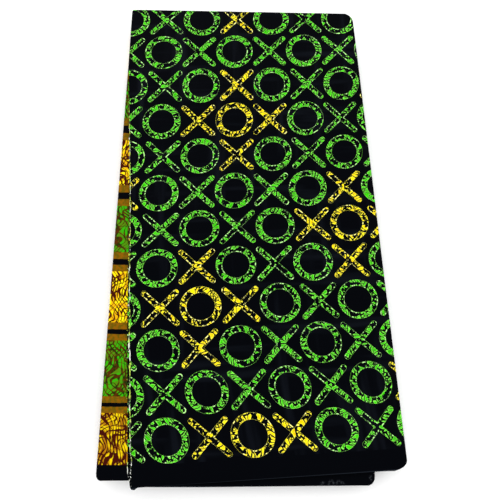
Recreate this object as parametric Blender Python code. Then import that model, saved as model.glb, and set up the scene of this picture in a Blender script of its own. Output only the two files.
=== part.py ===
"""A length of printed ankara cotton, doubled and fan-folded into a flat packet.

The cloth is doubled selvage to selvage, so each leaf is two plies: they are joined along the
back by the doubling fold, and open along the front, where the two selvages lie. The doubled
cloth then goes to and fro in leaves, and each leaf turns into the one below it at a rounded
fold. The leaves that show are walls of their own, and the hidden ones share one core.

Sizes are millimetres in the packet's own plan: x to the right, y towards the back (so the
front is negative), from the top leaf's back left corner, and z up from the surface that the
packet lies on. At the end the packet is centred on the origin and turned into metres.
"""

import math
from collections import namedtuple

import bmesh
import bpy

MM = 0.001

# The cloth
PLY = 1.0
PLY_GAP = 0.3
LEAF_GAP = 0.3
PLY_PITCH = PLY + PLY_GAP
LEAF = PLY_PITCH + PLY
LEAF_PITCH = LEAF + LEAF_GAP
FOLD_RADIUS = LEAF_PITCH / 2
FOLD_REACH = FOLD_RADIUS + LEAF / 2
BACK_REACH = LEAF / 2
SPLIT_GAP = 1.0

# The stack, from the surface up
PRESSED_LEAF = 0.7
PRESSED_LEAVES = 12
CORE_BOTTOM = LEAF + LEAF_GAP
CORE_TOP = CORE_BOTTOM + 2 * LEAF_PITCH + PRESSED_LEAVES * PRESSED_LEAF
HEIGHT = CORE_TOP + LEAF_GAP + 2 * LEAF_PITCH + LEAF
FRONT_TAPER = 0.06

# The plan
DEPTH = 585.0
UNDER_PLY_PEEK = 2.4
CORE_OVERHANG = 3.0


# How finely the walls are stepped
FOLD_STEPS = 8
DOUBLING_STEPS = 6
CORNER_STEPS = (0.0, 0.12, 0.35, 0.65)
TOP_COLUMNS, TOP_SPACING = 9, 14.0
LEAF_COLUMNS, LEAF_SPACING = 5, 75.0
CORE_COLUMNS, CORE_SPACING = 8, 62.0

GROUND_BLACK = (0.010, 0.010, 0.016)
BLOCK_YELLOW = (0.55, 0.42, 0.02)

# Short tables of (place, value): an edge that runs to the front gives x for each y, and one
# that runs to the right gives y for each x.
RAW_EDGE = ((0.0, 0.0), (-80.0, -3.4), (-250.0, -0.5), (-420.0, 0.2), (-DEPTH, 3.2))
TOP_FOLD = ((0.0, 291.2), (-DEPTH, 296.2))
TOP_BACK = ((0.0, 0.0), (296.0, -2.1))
TOP_FRONT = ((3.0, -586.6), (9.0, -584.4), (260.0, -581.4), (296.0, -581.0))
BORDER_FOLD = ((0.0, -0.7), (-DEPTH, -33.3))
BORDER_FRONT = ((-33.0, -575.8), (0.0, -577.4), (180.0, -578.4), (296.0, -574.0))
LOWER_FOLD = ((0.0, 287.0), (-DEPTH, 260.2))
LOWER_FRONT = (
    (-33.0, -574.5),
    (-4.0, -576.2),
    (16.0, -584.6),
    (74.0, -587.7),
    (260.0, -595.4),
)
HIDDEN_BACK = ((0.0, -3.0), (296.0, -4.5))
HIDDEN_FRONT = ((-33.0, -573.5), (0.0, -575.5), (296.0, -577.0))
SQUARE_LEFT = ((0.0, 3.0), (-DEPTH, 4.0))
SQUARE_FOLD = ((0.0, 288.0), (-DEPTH, 292.5))

Corner = namedtuple("Corner", "across along")
SHARP = Corner(0.0, 1.0)
SMALL = Corner(3.0, 7.0)
PLAIN = Corner(6.0, 7.0)

# A leaf turns into the next one at its left (-1) or right (1) side, downwards (-1) or
# upwards (1). It starts where the leaf above turned over: at that one's left (-1) or right (1)
# side, or (0) at a raw end. Its corners are back and front, for each side.
Leaf = namedtuple("Leaf", "name left right back front corners level turns goes starts")

# Soft ridges where the top ply lies slack over the one below
Ridge = namedtuple("Ridge", "y height width x_from x_to")
RIDGES = (
    Ridge(y=-246.0, height=0.7, width=20.0, x_from=120.0, x_to=280.0),
    Ridge(y=-352.0, height=1.2, width=22.0, x_from=10.0, x_to=230.0),
    Ridge(y=-430.0, height=1.3, width=21.0, x_from=70.0, x_to=285.0),
    Ridge(y=-502.0, height=1.1, width=19.0, x_from=15.0, x_to=210.0),
)


def between(low, high, share):
    return low + (high - low) * share


def follow(table, place):
    """The value at a place along a short table, straight between its rows and on past them."""
    pairs = list(zip(table, table[1:]))
    for (a, low), (b, high) in pairs:
        if min(a, b) <= place <= max(a, b):
            return between(low, high, (place - a) / (b - a))
    nearest = min(pairs, key=lambda pair: abs(pair[0][0] + pair[1][0] - 2 * place))
    (a, low), (b, high) = nearest
    return between(low, high, (place - a) / (b - a))


def corner_inset(corner, distance):
    """How far a rounded corner draws a side in, at a distance from the end of that side."""
    share = min(max(distance / corner.along, 0.0), 1.0)
    return corner.across * (1 - math.sqrt(1 - (1 - share) ** 2))


def ridge_height(x, y):
    total = 0.0
    for ridge in RIDGES:
        middle = between(ridge.x_from, ridge.x_to, 0.5)
        half = (ridge.x_to - ridge.x_from) / 2
        fade = math.exp(-(((x - middle) / half) ** 4))
        total += ridge.height * fade * math.exp(-(((y - ridge.y) / ridge.width) ** 2))
    return total


def side_x(leaf, y, side):
    """Where a leaf's left (-1) or right (1) side lies at this y, its rounded corners included."""
    back_corner, front_corner = leaf.corners[side]
    mid_x = follow(leaf.left if side < 0 else leaf.right, y)
    to_back = follow(leaf.back, mid_x) - y
    to_front = y - follow(leaf.front, mid_x)
    inset = corner_inset(back_corner, to_back) + corner_inset(front_corner, to_front)
    return mid_x - side * inset


def span(leaf, y, under):
    """The left and right ends of a leaf at this y, short of the fold that it turns into."""
    left, right = side_x(leaf, y, -1), side_x(leaf, y, 1)
    if leaf.turns > 0:
        right -= FOLD_REACH
    else:
        left += FOLD_REACH
    if leaf.starts < 0:
        left = side_x(BORDER_LEAF, y, -1) + FOLD_REACH + SPLIT_GAP
    elif leaf.starts > 0:
        right = side_x(TOP_LEAF, y, 1) - FOLD_REACH - SPLIT_GAP
    else:
        left -= UNDER_PLY_PEEK * under
    return left, right


def plan_point(leaf, across, along, under):
    """A point of a leaf's centre, from shares across it and towards the front."""
    rough_x = between(*span(leaf, -DEPTH * along, under), across)
    y = between(follow(leaf.back, rough_x) - BACK_REACH, follow(leaf.front, rough_x), along)
    return between(*span(leaf, y, under), across), y


TOP_LEAF = Leaf(
    name="top_leaf",
    left=RAW_EDGE,
    right=TOP_FOLD,
    back=TOP_BACK,
    front=TOP_FRONT,
    corners={-1: (Corner(3.0, 4.0), SHARP), 1: (Corner(10.0, 13.0), Corner(25.0, 17.0))},
    level=HEIGHT - LEAF / 2,
    turns=1,
    goes=-1,
    starts=0,
)
BORDER_LEAF = Leaf(
    name="border_leaf",
    left=BORDER_FOLD,
    right=TOP_FOLD,
    back=HIDDEN_BACK,
    front=BORDER_FRONT,
    corners={-1: (PLAIN, SMALL), 1: (Corner(0.0, 12.0), Corner(0.0, 15.0))},
    level=HEIGHT - LEAF / 2 - LEAF_PITCH,
    turns=-1,
    goes=-1,
    starts=1,
)
LOWER_LEAF = Leaf(
    name="lower_leaf",
    left=BORDER_FOLD,
    right=LOWER_FOLD,
    back=HIDDEN_BACK,
    front=LOWER_FRONT,
    corners={-1: (SHARP, SHARP), 1: (PLAIN, Corner(7.0, 8.0))},
    level=HEIGHT - LEAF / 2 - 2 * LEAF_PITCH,
    turns=1,
    goes=-1,
    starts=-1,
)
BOTTOM_LEAF = Leaf(
    name="bottom_leaf",
    left=SQUARE_LEFT,
    right=SQUARE_FOLD,
    back=HIDDEN_BACK,
    front=HIDDEN_FRONT,
    corners={-1: (SHARP, SHARP), 1: (PLAIN, PLAIN)},
    level=LEAF / 2,
    turns=1,
    goes=1,
    starts=0,
)


def taper(y):
    """The folded back stands a little higher than the open front."""
    return 1 - FRONT_TAPER * (y / DEPTH) ** 2


def steps(count, start=0.0, end=1.0):
    return [between(start, end, i / count) for i in range(count + 1)]


def along_stops(leaf, spacing):
    """Shares from back to front: close together in the rounded corners, even between them."""
    backs = max(leaf.corners[side][0].along for side in (-1, 1))
    fronts = max(leaf.corners[side][1].along for side in (-1, 1))
    back_stops = [share * backs / DEPTH for share in CORNER_STEPS]
    front_stops = [1 - share * fronts / DEPTH for share in reversed(CORNER_STEPS)]
    low, high = backs / DEPTH, 1 - fronts / DEPTH
    count = max(2, round((high - low) * DEPTH / spacing))
    return back_stops + steps(count, low, high) + front_stops


def leaf_section(leaf, upper_spacing):
    """The doubled cloth from the lower selvage, round the doubling fold, to the upper one."""
    half = PLY_PITCH / 2
    rows = [(along, -half, 0.0) for along in reversed(along_stops(leaf, LEAF_SPACING))]
    for turn in steps(DOUBLING_STEPS, -90.0, 90.0)[1:-1]:
        angle = math.radians(turn)
        rows.append((0.0, half * math.sin(angle), half * math.cos(angle)))
    return rows + [(along, half, 0.0) for along in along_stops(leaf, upper_spacing)]


def leaf_path(columns):
    """Stops across the leaf from its free end to its fold, then round the fold."""
    flat = [(share, 0.0) for share in (0.0, 0.02, *steps(columns)[1:])]
    return flat + [(1.0, math.radians(turn)) for turn in steps(FOLD_STEPS, 0, 180)[1:]]


def leaf_point(leaf, stop, row):
    """Places one point of the doubled cloth on its leaf, or on the fold that ends the leaf."""
    (share, angle), (along, lift, back) = stop, row
    across = share if leaf.turns > 0 else 1 - share
    under = 0.5 - lift / PLY_PITCH
    x, y = plan_point(leaf, across, along, under)
    # The outer ply of the fold is the one that faces away from the leaf it turns into.
    outward = FOLD_RADIUS - leaf.goes * lift
    x += leaf.turns * outward * math.sin(angle)
    y += back
    z = leaf.level + leaf.goes * (FOLD_RADIUS - outward * math.cos(angle))
    if leaf is TOP_LEAF:
        z += ridge_height(x, y) * (1 - under) * math.cos(angle / 2) ** 4
    return x * MM, y * MM, z * taper(y) * MM


def cotton(name, colour):
    material = bpy.data.materials.new(name)
    material.use_nodes = True
    shader = material.node_tree.nodes["Principled BSDF"]
    shader.inputs["Base Color"].default_value = (*colour, 1.0)
    shader.inputs["Roughness"].default_value = 0.75
    shader.inputs["Metallic"].default_value = 0.0
    return material


def add_object(name, bm, colour):
    mesh = bpy.data.meshes.new(name)
    bm.to_mesh(mesh)
    bm.free()
    mesh.shade_smooth()
    mesh.set_sharp_from_angle(angle=math.radians(40))
    mesh.materials.append(cotton(name, colour))
    obj = bpy.data.objects.new(name, mesh)
    bpy.context.scene.collection.objects.link(obj)
    return obj


def build_leaf(leaf, colour, columns=LEAF_COLUMNS, upper_spacing=LEAF_SPACING):
    """A grid laid along the doubled cloth, given the thickness of one ply."""
    path = leaf_path(columns)
    section = leaf_section(leaf, upper_spacing)
    bm = bmesh.new()
    across, around = len(path) - 1, len(section) - 1
    bmesh.ops.create_grid(bm, x_segments=across, y_segments=around, size=0.5)
    for vert in bm.verts:
        stop = path[round((vert.co.x + 0.5) * across)]
        row = section[round((vert.co.y + 0.5) * around)]
        vert.co = leaf_point(leaf, stop, row)
    obj = add_object(leaf.name, bm, colour)
    wall = obj.modifiers.new("ply", "SOLIDIFY")
    wall.thickness = PLY * MM
    wall.offset = 0.0
    wall.use_even_offset = True
    return obj


# The core of hidden leaves: how deep the seams between its folds are, and how far folds stray
FOLD_DEPTH = 1.0
DOUBLING_DEPTH = 0.4
SELVAGE_DEPTH = 0.25
STRAY = 1.1
CORE_LEDGE = 0.05
CORE_ENDS = (0.0, 0.002, 0.006, 0.012, 0.03)
Level = namedtuple("Level", "z tucked")


def core_seams():
    """The heights of the seams between the hidden leaves, from the surface up."""
    low = CORE_BOTTOM + LEAF_PITCH
    pressed = [low + PRESSED_LEAF * i for i in range(PRESSED_LEAVES + 1)]
    return [CORE_BOTTOM, *pressed, CORE_TOP]


def core_levels():
    """From the top down, each seam and the middle of each leaf. Where a loose leaf's fold
    comes round beside the core, the core is tucked in on the right to leave it room."""
    seams = core_seams()
    levels = [Level(seams[0], True)]
    for low, high in zip(seams, seams[1:]):
        tucked = low < seams[1] or high > seams[-2]
        if low == seams[1]:
            levels.append(Level(low + CORE_LEDGE, False))
        if high == seams[-1]:
            levels[-1] = Level(low - CORE_LEDGE, False)
            levels.append(Level(low + CORE_LEDGE, True))
        levels.append(Level(between(low, high, 0.5), tucked))
        levels.append(Level(high - CORE_LEDGE if high == seams[1] else high, tucked))
    return levels[::-1]


def bullnose(seams, z, depth):
    """The rounded edge of the fold that holds this height, and how far that fold strays."""
    for index, (low, high) in enumerate(zip(seams, seams[1:])):
        if z <= high or index == len(seams) - 2:
            from_middle = (z - between(low, high, 0.5)) / ((high - low) / 2)
            round_in = depth * (1 - math.sqrt(max(0.0, 1 - from_middle**2)))
            return round_in + STRAY * (0.5 + 0.5 * math.sin(2.4 * index))
    return 0.0


def core_point(across, along, level, seams):
    """A point of the core's skin. Its upper leaves lie askew, like the leaves above them."""
    z = level.z
    askew = ((z - CORE_BOTTOM) / (CORE_TOP - CORE_BOTTOM)) ** 2
    y = between(-BACK_REACH, -DEPTH, along)
    corner = corner_inset(PLAIN, DEPTH * along) + corner_inset(PLAIN, DEPTH * (1 - along))
    left_folds, right_folds = [*seams[::2], seams[-1]], seams[1::2]
    left = between(follow(SQUARE_LEFT, y), follow(BORDER_FOLD, y) + CORE_OVERHANG, askew)
    left += corner + bullnose(left_folds, z, FOLD_DEPTH)
    if level.tucked:
        beside = LOWER_LEAF if z > between(CORE_BOTTOM, CORE_TOP, 0.5) else BOTTOM_LEAF
        right = side_x(beside, y, 1) - FOLD_REACH - SPLIT_GAP
    else:
        lower_fold = follow(LOWER_FOLD, y)
        right = between(follow(SQUARE_FOLD, y), lower_fold, askew)
        right -= corner + bullnose(right_folds, z, FOLD_DEPTH)
    x = between(left, right, across)
    back = follow(HIDDEN_BACK, x) - bullnose(seams, z, DOUBLING_DEPTH)
    front = follow(HIDDEN_FRONT, x) + bullnose(seams, z, SELVAGE_DEPTH)
    y = between(back, front, along)
    return x * MM, y * MM, z * taper(y) * MM


def build_core(colour):
    """A grid for the top, its border drawn down level by level, and closed underneath."""
    seams, levels = core_seams(), core_levels()
    middle = steps(round(DEPTH / CORE_SPACING), CORE_ENDS[-1], 1 - CORE_ENDS[-1])[1:-1]
    along = [*CORE_ENDS, *middle, *(1 - stop for stop in reversed(CORE_ENDS))]
    rows = len(along) - 1
    bm = bmesh.new()
    bmesh.ops.create_grid(bm, x_segments=CORE_COLUMNS, y_segments=rows, size=0.5)
    rim = [edge for edge in bm.edges if edge.is_boundary]
    for depth in range(1, len(levels)):
        made = bmesh.ops.extrude_edge_only(bm, edges=rim)["geom"]
        for vert in (item for item in made if isinstance(item, bmesh.types.BMVert)):
            vert.co.z = -depth
        rim = [
            item
            for item in made
            if isinstance(item, bmesh.types.BMEdge) and item.is_boundary
        ]
    bmesh.ops.contextual_create(bm, geom=rim)
    for vert in bm.verts:
        across = vert.co.x + 0.5
        toward_front = along[round((vert.co.y + 0.5) * rows)]
        vert.co = core_point(across, toward_front, levels[round(-vert.co.z)], seams)
    if bm.calc_volume(signed=True) < 0:
        bmesh.ops.reverse_faces(bm, faces=bm.faces)
    return add_object("folded_core", bm, colour)


def centre_on_origin(objects):
    """Puts the middle of the footprint on the origin."""
    bpy.context.view_layer.update()
    graph = bpy.context.evaluated_depsgraph_get()
    points = [v.co for obj in objects for v in obj.evaluated_get(graph).data.vertices]
    middle = [
        (min(p[axis] for p in points) + max(p[axis] for p in points)) / 2
        for axis in (0, 1)
    ]
    for obj in objects:
        obj.location = (-middle[0], -middle[1], 0.0)


def main():
    for obj in list(bpy.data.objects):
        bpy.data.objects.remove(obj, do_unlink=True)
    objects = [
        build_leaf(TOP_LEAF, GROUND_BLACK, TOP_COLUMNS, TOP_SPACING),
        build_leaf(BORDER_LEAF, BLOCK_YELLOW),
        build_leaf(LOWER_LEAF, GROUND_BLACK),
        build_leaf(BOTTOM_LEAF, GROUND_BLACK),
        build_core(GROUND_BLACK),
    ]
    centre_on_origin(objects)


main()
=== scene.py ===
# %% [markdown]
# # A folded length of ankara
#
# Ankara is plain-woven cotton with a wax-resist print that shows on both faces. It is sold as
# a long length, doubled selvage to selvage and then folded to and fro into a flat packet.
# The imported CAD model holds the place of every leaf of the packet. This lesson lays a thin
# cloth along each of those solids, prints it with nodes, and frays its raw end.

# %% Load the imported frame
import math
import random
from collections import namedtuple

import bmesh
import bpy
from mathutils import Matrix, Vector, noise


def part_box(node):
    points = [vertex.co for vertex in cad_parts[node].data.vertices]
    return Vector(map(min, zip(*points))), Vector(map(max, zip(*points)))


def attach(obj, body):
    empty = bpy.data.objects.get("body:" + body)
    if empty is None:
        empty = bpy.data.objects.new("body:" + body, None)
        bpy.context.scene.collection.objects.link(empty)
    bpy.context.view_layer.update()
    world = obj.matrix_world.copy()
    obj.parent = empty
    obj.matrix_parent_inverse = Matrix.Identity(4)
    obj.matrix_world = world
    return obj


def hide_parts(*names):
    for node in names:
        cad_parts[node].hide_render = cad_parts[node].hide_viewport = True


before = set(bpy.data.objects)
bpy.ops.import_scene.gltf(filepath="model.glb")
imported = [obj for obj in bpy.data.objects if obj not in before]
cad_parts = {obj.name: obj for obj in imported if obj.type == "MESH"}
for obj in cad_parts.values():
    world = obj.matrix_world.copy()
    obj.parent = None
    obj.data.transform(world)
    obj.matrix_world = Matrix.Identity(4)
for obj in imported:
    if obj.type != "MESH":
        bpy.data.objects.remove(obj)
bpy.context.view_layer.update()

# %% [markdown]
# ## The packet's own plan
#
# A folded cloth is easiest to describe from above, in millimetres from one of its corners.
# Here x runs right and y runs back from the top leaf's back left corner, so the front is
# negative, and z is the height above the surface that the packet lies on. The frame's boxes
# say where that corner is.

# %% Find the corner that the plan is measured from
MM = 0.001
TOP_WIDTH = 295.9
TOP_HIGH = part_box("top_leaf")[1]
PLAN_CORNER = Vector((TOP_HIGH.x - TOP_WIDTH * MM, TOP_HIGH.y, 0.0))


def place(x, y, z):
    return PLAN_CORNER + Vector((x, y, z)) * MM


def plan(point):
    return (point - PLAN_CORNER) / MM


print("The plan's corner lies at", [round(value, 4) for value in PLAN_CORNER])

# %% [markdown]
# ## The camera
#
# The lattice of the print is even on the cloth, so its vanishing points give the lens and the
# tilt. The camera looks almost straight down, from just inside the front edge, and it is
# made first because every later render is compared through it.

# %% Make the camera
# The foot is a place in the plan, and the height is over the plane of the top leaf.
LENS = 44.77
SENSOR = 36.0
CAMERA_FOOT = (72.4, -544.8)
CAMERA_HEIGHT = 689.5
TOP_PLANE = 23.7
FORWARD = Vector((0.0900, 0.2944, -0.9515)).normalized()
UP = Vector((0.0213, 0.9545, 0.2973))


def put(name, data):
    """Puts a camera, mesh, curve or light into the scene as an object."""
    made = bpy.data.objects.new(name, data)
    bpy.context.scene.collection.objects.link(made)
    return made


right = FORWARD.cross(UP).normalized()
up = right.cross(FORWARD)
camera_data = bpy.data.cameras.new("camera")
camera_data.lens = LENS
camera_data.sensor_width = SENSOR
camera = put("camera", camera_data)
camera.matrix_world = Matrix.Translation(place(*CAMERA_FOOT, TOP_PLANE + CAMERA_HEIGHT)) @ (
    Matrix((right, up, -FORWARD)).transposed().to_4x4()
)
bpy.context.scene.camera = camera
print("The camera stands at", [round(value, 3) for value in camera.location])

# %% [markdown]
# ## Outlines as short tables
#
# Each leaf has a left and a right side, given as x for a few values of y, and a back and a
# front, given as y for a few values of x. They follow the CAD solids, whose tables are
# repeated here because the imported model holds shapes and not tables. Edges, corners and
# fronts were then moved by up to 1.3 mm, and the lower ply at the raw end by up to 2.3 mm,
# until the renders met the photograph.

# %% Write down the outlines
DEPTH = 585.0
RAW_EDGE = (
    (0.0, -0.7),
    (-80.0, -4.7),
    (-170.0, -2.5),
    (-250.0, -1.0),
    (-340.0, -0.2),
    (-420.0, 0.2),
    (-DEPTH, 3.2),
)
# How far the lower ply stands out past the upper one at the raw end.
UNDER_PLY_PEEK = (
    (0.0, 0.1),
    (-100.0, 0.1),
    (-160.0, 0.4),
    (-280.0, 0.6),
    (-350.0, 2.5),
    (-470.0, 3.4),
    (-570.0, 3.8),
    (-576.0, 2.6),
    (-DEPTH, 1.6),
)
TOP_FOLD = ((0.0, 291.4), (-350.0, 294.4), (-DEPTH, 297.0))
TOP_BACK = ((0.0, 0.0), (296.0, -2.1))
TOP_FRONT = ((3.0, -586.6), (5.0, -586.8), (9.5, -584.5), (260.0, -581.6), (296.0, -582.4))
BORDER_FOLD = ((0.0, -0.7), (-DEPTH, -34.5))
BORDER_FRONT = ((-33.0, -575.8), (0.0, -577.4), (180.0, -578.4), (296.0, -574.0))
LOWER_FOLD = ((0.0, 287.0), (-DEPTH, 261.2))
LOWER_FRONT = (
    (-33.0, -574.5),
    (-4.0, -576.2),
    (16.0, -584.6),
    (74.0, -587.7),
    (260.0, -595.4),
)
HIDDEN_BACK = ((0.0, -3.0), (296.0, -4.5))
HIDDEN_FRONT = ((-33.0, -573.5), (0.0, -575.5), (296.0, -577.0))
SQUARE_LEFT = ((0.0, 3.0), (-DEPTH, 4.0))
SQUARE_FOLD = ((0.0, 288.0), (-DEPTH, 292.5))
print("The packet is", DEPTH, "mm deep, half of the cloth's width")


# %% Follow a table between its rows
def between(low, high, share):
    return low + (high - low) * share


def follow(table, where):
    """The value at a place along a short table, straight between its rows and on past them."""
    pairs = list(zip(table, table[1:]))
    for (a, low), (b, high) in pairs:
        if min(a, b) <= where <= max(a, b):
            return between(low, high, (where - a) / (b - a))
    nearest = min(pairs, key=lambda pair: abs(pair[0][0] + pair[1][0] - 2 * where))
    (a, low), (b, high) = nearest
    return between(low, high, (where - a) / (b - a))


def steps(count, start=0.0, end=1.0):
    return [between(start, end, i / count) for i in range(count + 1)]


print("The border fold ends at x", round(follow(BORDER_FOLD, -DEPTH), 1), "mm at the front")

# %% [markdown]
# ## Leaves of doubled cloth
#
# One leaf is two plies, joined along the back by the doubling fold and open along the front.
# A section runs from the lower selvage, round the doubling fold, to the upper selvage. A path
# runs from the leaf's free end to its fold, and round the fold. A flat grid has one direction
# for each, so every vertex of the grid is simply put where its section and its path cross.

# %% Set the heights and gaps of doubled cloth
# A leaf's plies lie PLY_PITCH apart and the leaves LEAF_PITCH apart, middle to middle.
PLY_PITCH = 1.3
LEAF_PITCH = 2 * PLY_PITCH
SOLID_LEAF = 2.3
CLOTH_THICKNESS = 0.3
STACK_HEIGHT = 24.0
# How far a fold and the doubling fold reach past the flat of their leaf.
FOLD_RADIUS = LEAF_PITCH / 2
FOLD_REACH = FOLD_RADIUS + PLY_PITCH / 2 + CLOTH_THICKNESS / 2
BACK_REACH = PLY_PITCH / 2 + CLOTH_THICKNESS / 2
TOP_LEVEL = STACK_HEIGHT - SOLID_LEAF / 2
BOTTOM_LEVEL = BACK_REACH
# The folded back stands a little higher than the open front, by this share of the height.
FRONT_TAPER = 0.06


def taper(y):
    return 1 - FRONT_TAPER * (y / DEPTH) ** 2


print("The front is", round(STACK_HEIGHT * taper(-DEPTH), 1), "mm high")

# %% Describe the loose leaves on the top and at the bottom
Corner = namedtuple("Corner", "across along")
SHARP = Corner(0.0, 1.0)
FRAYED = Corner(1.8, 5.0)
PLAIN = Corner(6.0, 7.0)

# A leaf turns into the next one at its left (-1) or right (1) side, downwards (-1) or
# upwards (1). It starts where the leaf above turned over, at that one's left (-1) or
# right (1) side, or (0) at a raw end. Its corners are back and front, for each side.
Leaf = namedtuple("Leaf", "left right back front corners level turns goes starts")

TOP_LEAF = Leaf(
    left=RAW_EDGE,
    right=TOP_FOLD,
    back=TOP_BACK,
    front=TOP_FRONT,
    corners={-1: (Corner(3.0, 4.0), FRAYED), 1: (Corner(12.0, 12.0), Corner(22.0, 10.5))},
    level=TOP_LEVEL,
    turns=1,
    goes=-1,
    starts=0,
)
BORDER_LEAF = Leaf(
    left=BORDER_FOLD,
    right=TOP_FOLD,
    back=HIDDEN_BACK,
    front=BORDER_FRONT,
    corners={-1: (PLAIN, Corner(4.5, 6.5)), 1: (Corner(0.0, 12.0), Corner(0.0, 11.0))},
    level=TOP_LEVEL - LEAF_PITCH,
    turns=-1,
    goes=-1,
    starts=1,
)
LOWER_LEAF = Leaf(
    left=BORDER_FOLD,
    right=LOWER_FOLD,
    back=HIDDEN_BACK,
    front=LOWER_FRONT,
    corners={-1: (SHARP, SHARP), 1: (PLAIN, Corner(8.0, 9.0))},
    level=TOP_LEVEL - 2 * LEAF_PITCH,
    turns=1,
    goes=-1,
    starts=-1,
)
BOTTOM_LEAF = Leaf(
    left=SQUARE_LEFT,
    right=SQUARE_FOLD,
    back=HIDDEN_BACK,
    front=HIDDEN_FRONT,
    corners={-1: (SHARP, SHARP), 1: (PLAIN, PLAIN)},
    level=BOTTOM_LEVEL,
    turns=1,
    goes=1,
    starts=0,
)
for leaf in (TOP_LEAF, BORDER_LEAF, LOWER_LEAF, BOTTOM_LEAF):
    print("A loose leaf lies", round(leaf.level, 2), "mm high")

# %% Work out where a leaf's sides lie
# A leaf and the fold that it starts from stop this far short of each other.
JOIN_GAP = 0.1


def corner_inset(corner, distance):
    """How far a rounded corner draws a side in, at a distance from the end of that side."""
    share = min(max(distance / corner.along, 0.0), 1.0)
    return corner.across * (1 - math.sqrt(1 - (1 - share) ** 2))


def side_x(leaf, y, side):
    """Where a leaf's left (-1) or right (1) side lies at this y, its rounded corners included."""
    back_corner, front_corner = leaf.corners[side]
    mid_x = follow(leaf.left if side < 0 else leaf.right, y)
    to_back = follow(leaf.back, mid_x) - y
    to_front = y - follow(leaf.front, mid_x)
    inset = corner_inset(back_corner, to_back) + corner_inset(front_corner, to_front)
    return mid_x - side * inset


def beside_fold(leaf, y, side):
    """Where the next leaf starts, just short of the fold that leads into it."""
    return side_x(leaf, y, side) - side * (FOLD_REACH + JOIN_GAP)


def span(leaf, y, under):
    """The left and right ends of a leaf at this y, short of the fold that it turns into."""
    left, right = side_x(leaf, y, -1), side_x(leaf, y, 1)
    if leaf.turns > 0:
        right -= FOLD_REACH
    else:
        left += FOLD_REACH
    if leaf.starts < 0:
        left = beside_fold(BORDER_LEAF, y, -1)
    elif leaf.starts > 0:
        right = beside_fold(TOP_LEAF, y, 1)
    else:
        left -= follow(UNDER_PLY_PEEK, y) * under
    return left, right


def plan_point(leaf, across, along, under):
    """A point of a ply, from shares across its leaf and towards the front."""
    rough_x = between(*span(leaf, -DEPTH * along, under), across)
    y = between(follow(leaf.back, rough_x) - BACK_REACH, follow(leaf.front, rough_x), along)
    return between(*span(leaf, y, under), across), y


ends = span(TOP_LEAF, -DEPTH / 2, 0.0)
print("Top leaf at mid depth, left and right:", [round(x, 1) for x in ends])

# %% [markdown]
# ## Creases
#
# Pressed cotton keeps long soft rolls where the top ply lies slack, shallow dents where a
# fold was held, and a fine unevenness everywhere. Each is a smooth bump in the height of the
# ply, so they could be simulated, but a short table puts them where the photograph has them.

# %% Place the creases of the top ply
# x and y are the middle, turn is in degrees from straight across, and a negative height is a
# trough. The long ones are the rolls that the solid has too.
Crease = namedtuple("Crease", "x y turn length width height")
ROLLS = (
    Crease(x=200.0, y=-246.0, turn=0.0, length=160.0, width=20.0, height=0.7),
    Crease(x=120.0, y=-352.0, turn=0.0, length=220.0, width=22.0, height=1.2),
    Crease(x=178.0, y=-430.0, turn=0.0, length=215.0, width=21.0, height=1.3),
    Crease(x=112.0, y=-502.0, turn=0.0, length=195.0, width=19.0, height=1.1),
)
CREASES = (
    Crease(x=60.0, y=-120.0, turn=12.0, length=120.0, width=9.0, height=0.35),
    Crease(x=215.0, y=-95.0, turn=-8.0, length=140.0, width=10.0, height=0.30),
    Crease(x=120.0, y=-196.0, turn=5.0, length=190.0, width=8.0, height=-0.40),
    Crease(x=232.0, y=-300.0, turn=-14.0, length=110.0, width=7.0, height=-0.45),
    Crease(x=60.0, y=-318.0, turn=9.0, length=100.0, width=8.0, height=-0.50),
    Crease(x=150.0, y=-392.0, turn=-4.0, length=200.0, width=9.0, height=-0.55),
    Crease(x=205.0, y=-470.0, turn=7.0, length=150.0, width=8.0, height=-0.60),
    Crease(x=70.0, y=-462.0, turn=-10.0, length=90.0, width=7.0, height=0.40),
    Crease(x=90.0, y=-545.0, turn=3.0, length=140.0, width=9.0, height=-0.50),
    Crease(x=235.0, y=-553.0, turn=-6.0, length=90.0, width=7.0, height=0.45),
)
print(len(ROLLS), "rolls and", len(CREASES), "creases on the top ply")

# %% Turn creases into heights
UNEVEN_HEIGHT = 0.28
UNEVEN_SIZE = 34.0


def crease_height(crease, x, y):
    """A ridge that fades at its ends, across a line turned about its middle."""
    turn = math.radians(crease.turn)
    along = (x - crease.x) * math.cos(turn) + (y - crease.y) * math.sin(turn)
    across = (y - crease.y) * math.cos(turn) - (x - crease.x) * math.sin(turn)
    fade = math.exp(-((2 * along / crease.length) ** 4))
    return crease.height * fade * math.exp(-((across / crease.width) ** 2))


def slack(x, y, creases, seed):
    """The height of a loose ply over a flat one."""
    total = sum(crease_height(crease, x, y) for crease in creases)
    rough = noise.noise(Vector((x / UNEVEN_SIZE, y / UNEVEN_SIZE, seed)))
    return total + UNEVEN_HEIGHT * rough


highest = max(slack(roll.x, roll.y, ROLLS + CREASES, 0.0) for roll in ROLLS)
print("The highest roll stands up by", round(highest, 2), "mm")

# %% [markdown]
# ## The cloth's own coordinates
#
# A print lies on the cloth, not on the packet. Every piece therefore carries a UV map in
# metres of cloth: u runs along its length, and v runs across it from the doubling fold,
# negative on the lower ply. The leaves lie a little bowed and askew, so each has a chart that
# turns a place in the plan into a place on the cloth. The charts hold that bow.

# %% Write down how the print lies on the cloth
COLUMN_PITCH = 45.2
ROW_PITCH = 47.6
FIRST_ROW = 14.0
SELVAGE = 561.5
BORDER_WIDTH = 120.0
RING_START = 148.0
PRINT_REPEAT = 592.0
CLOTH_MAP = "cloth_metres"
print("The print repeats every", PRINT_REPEAT, "mm, twice the width of a leaf")

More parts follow.
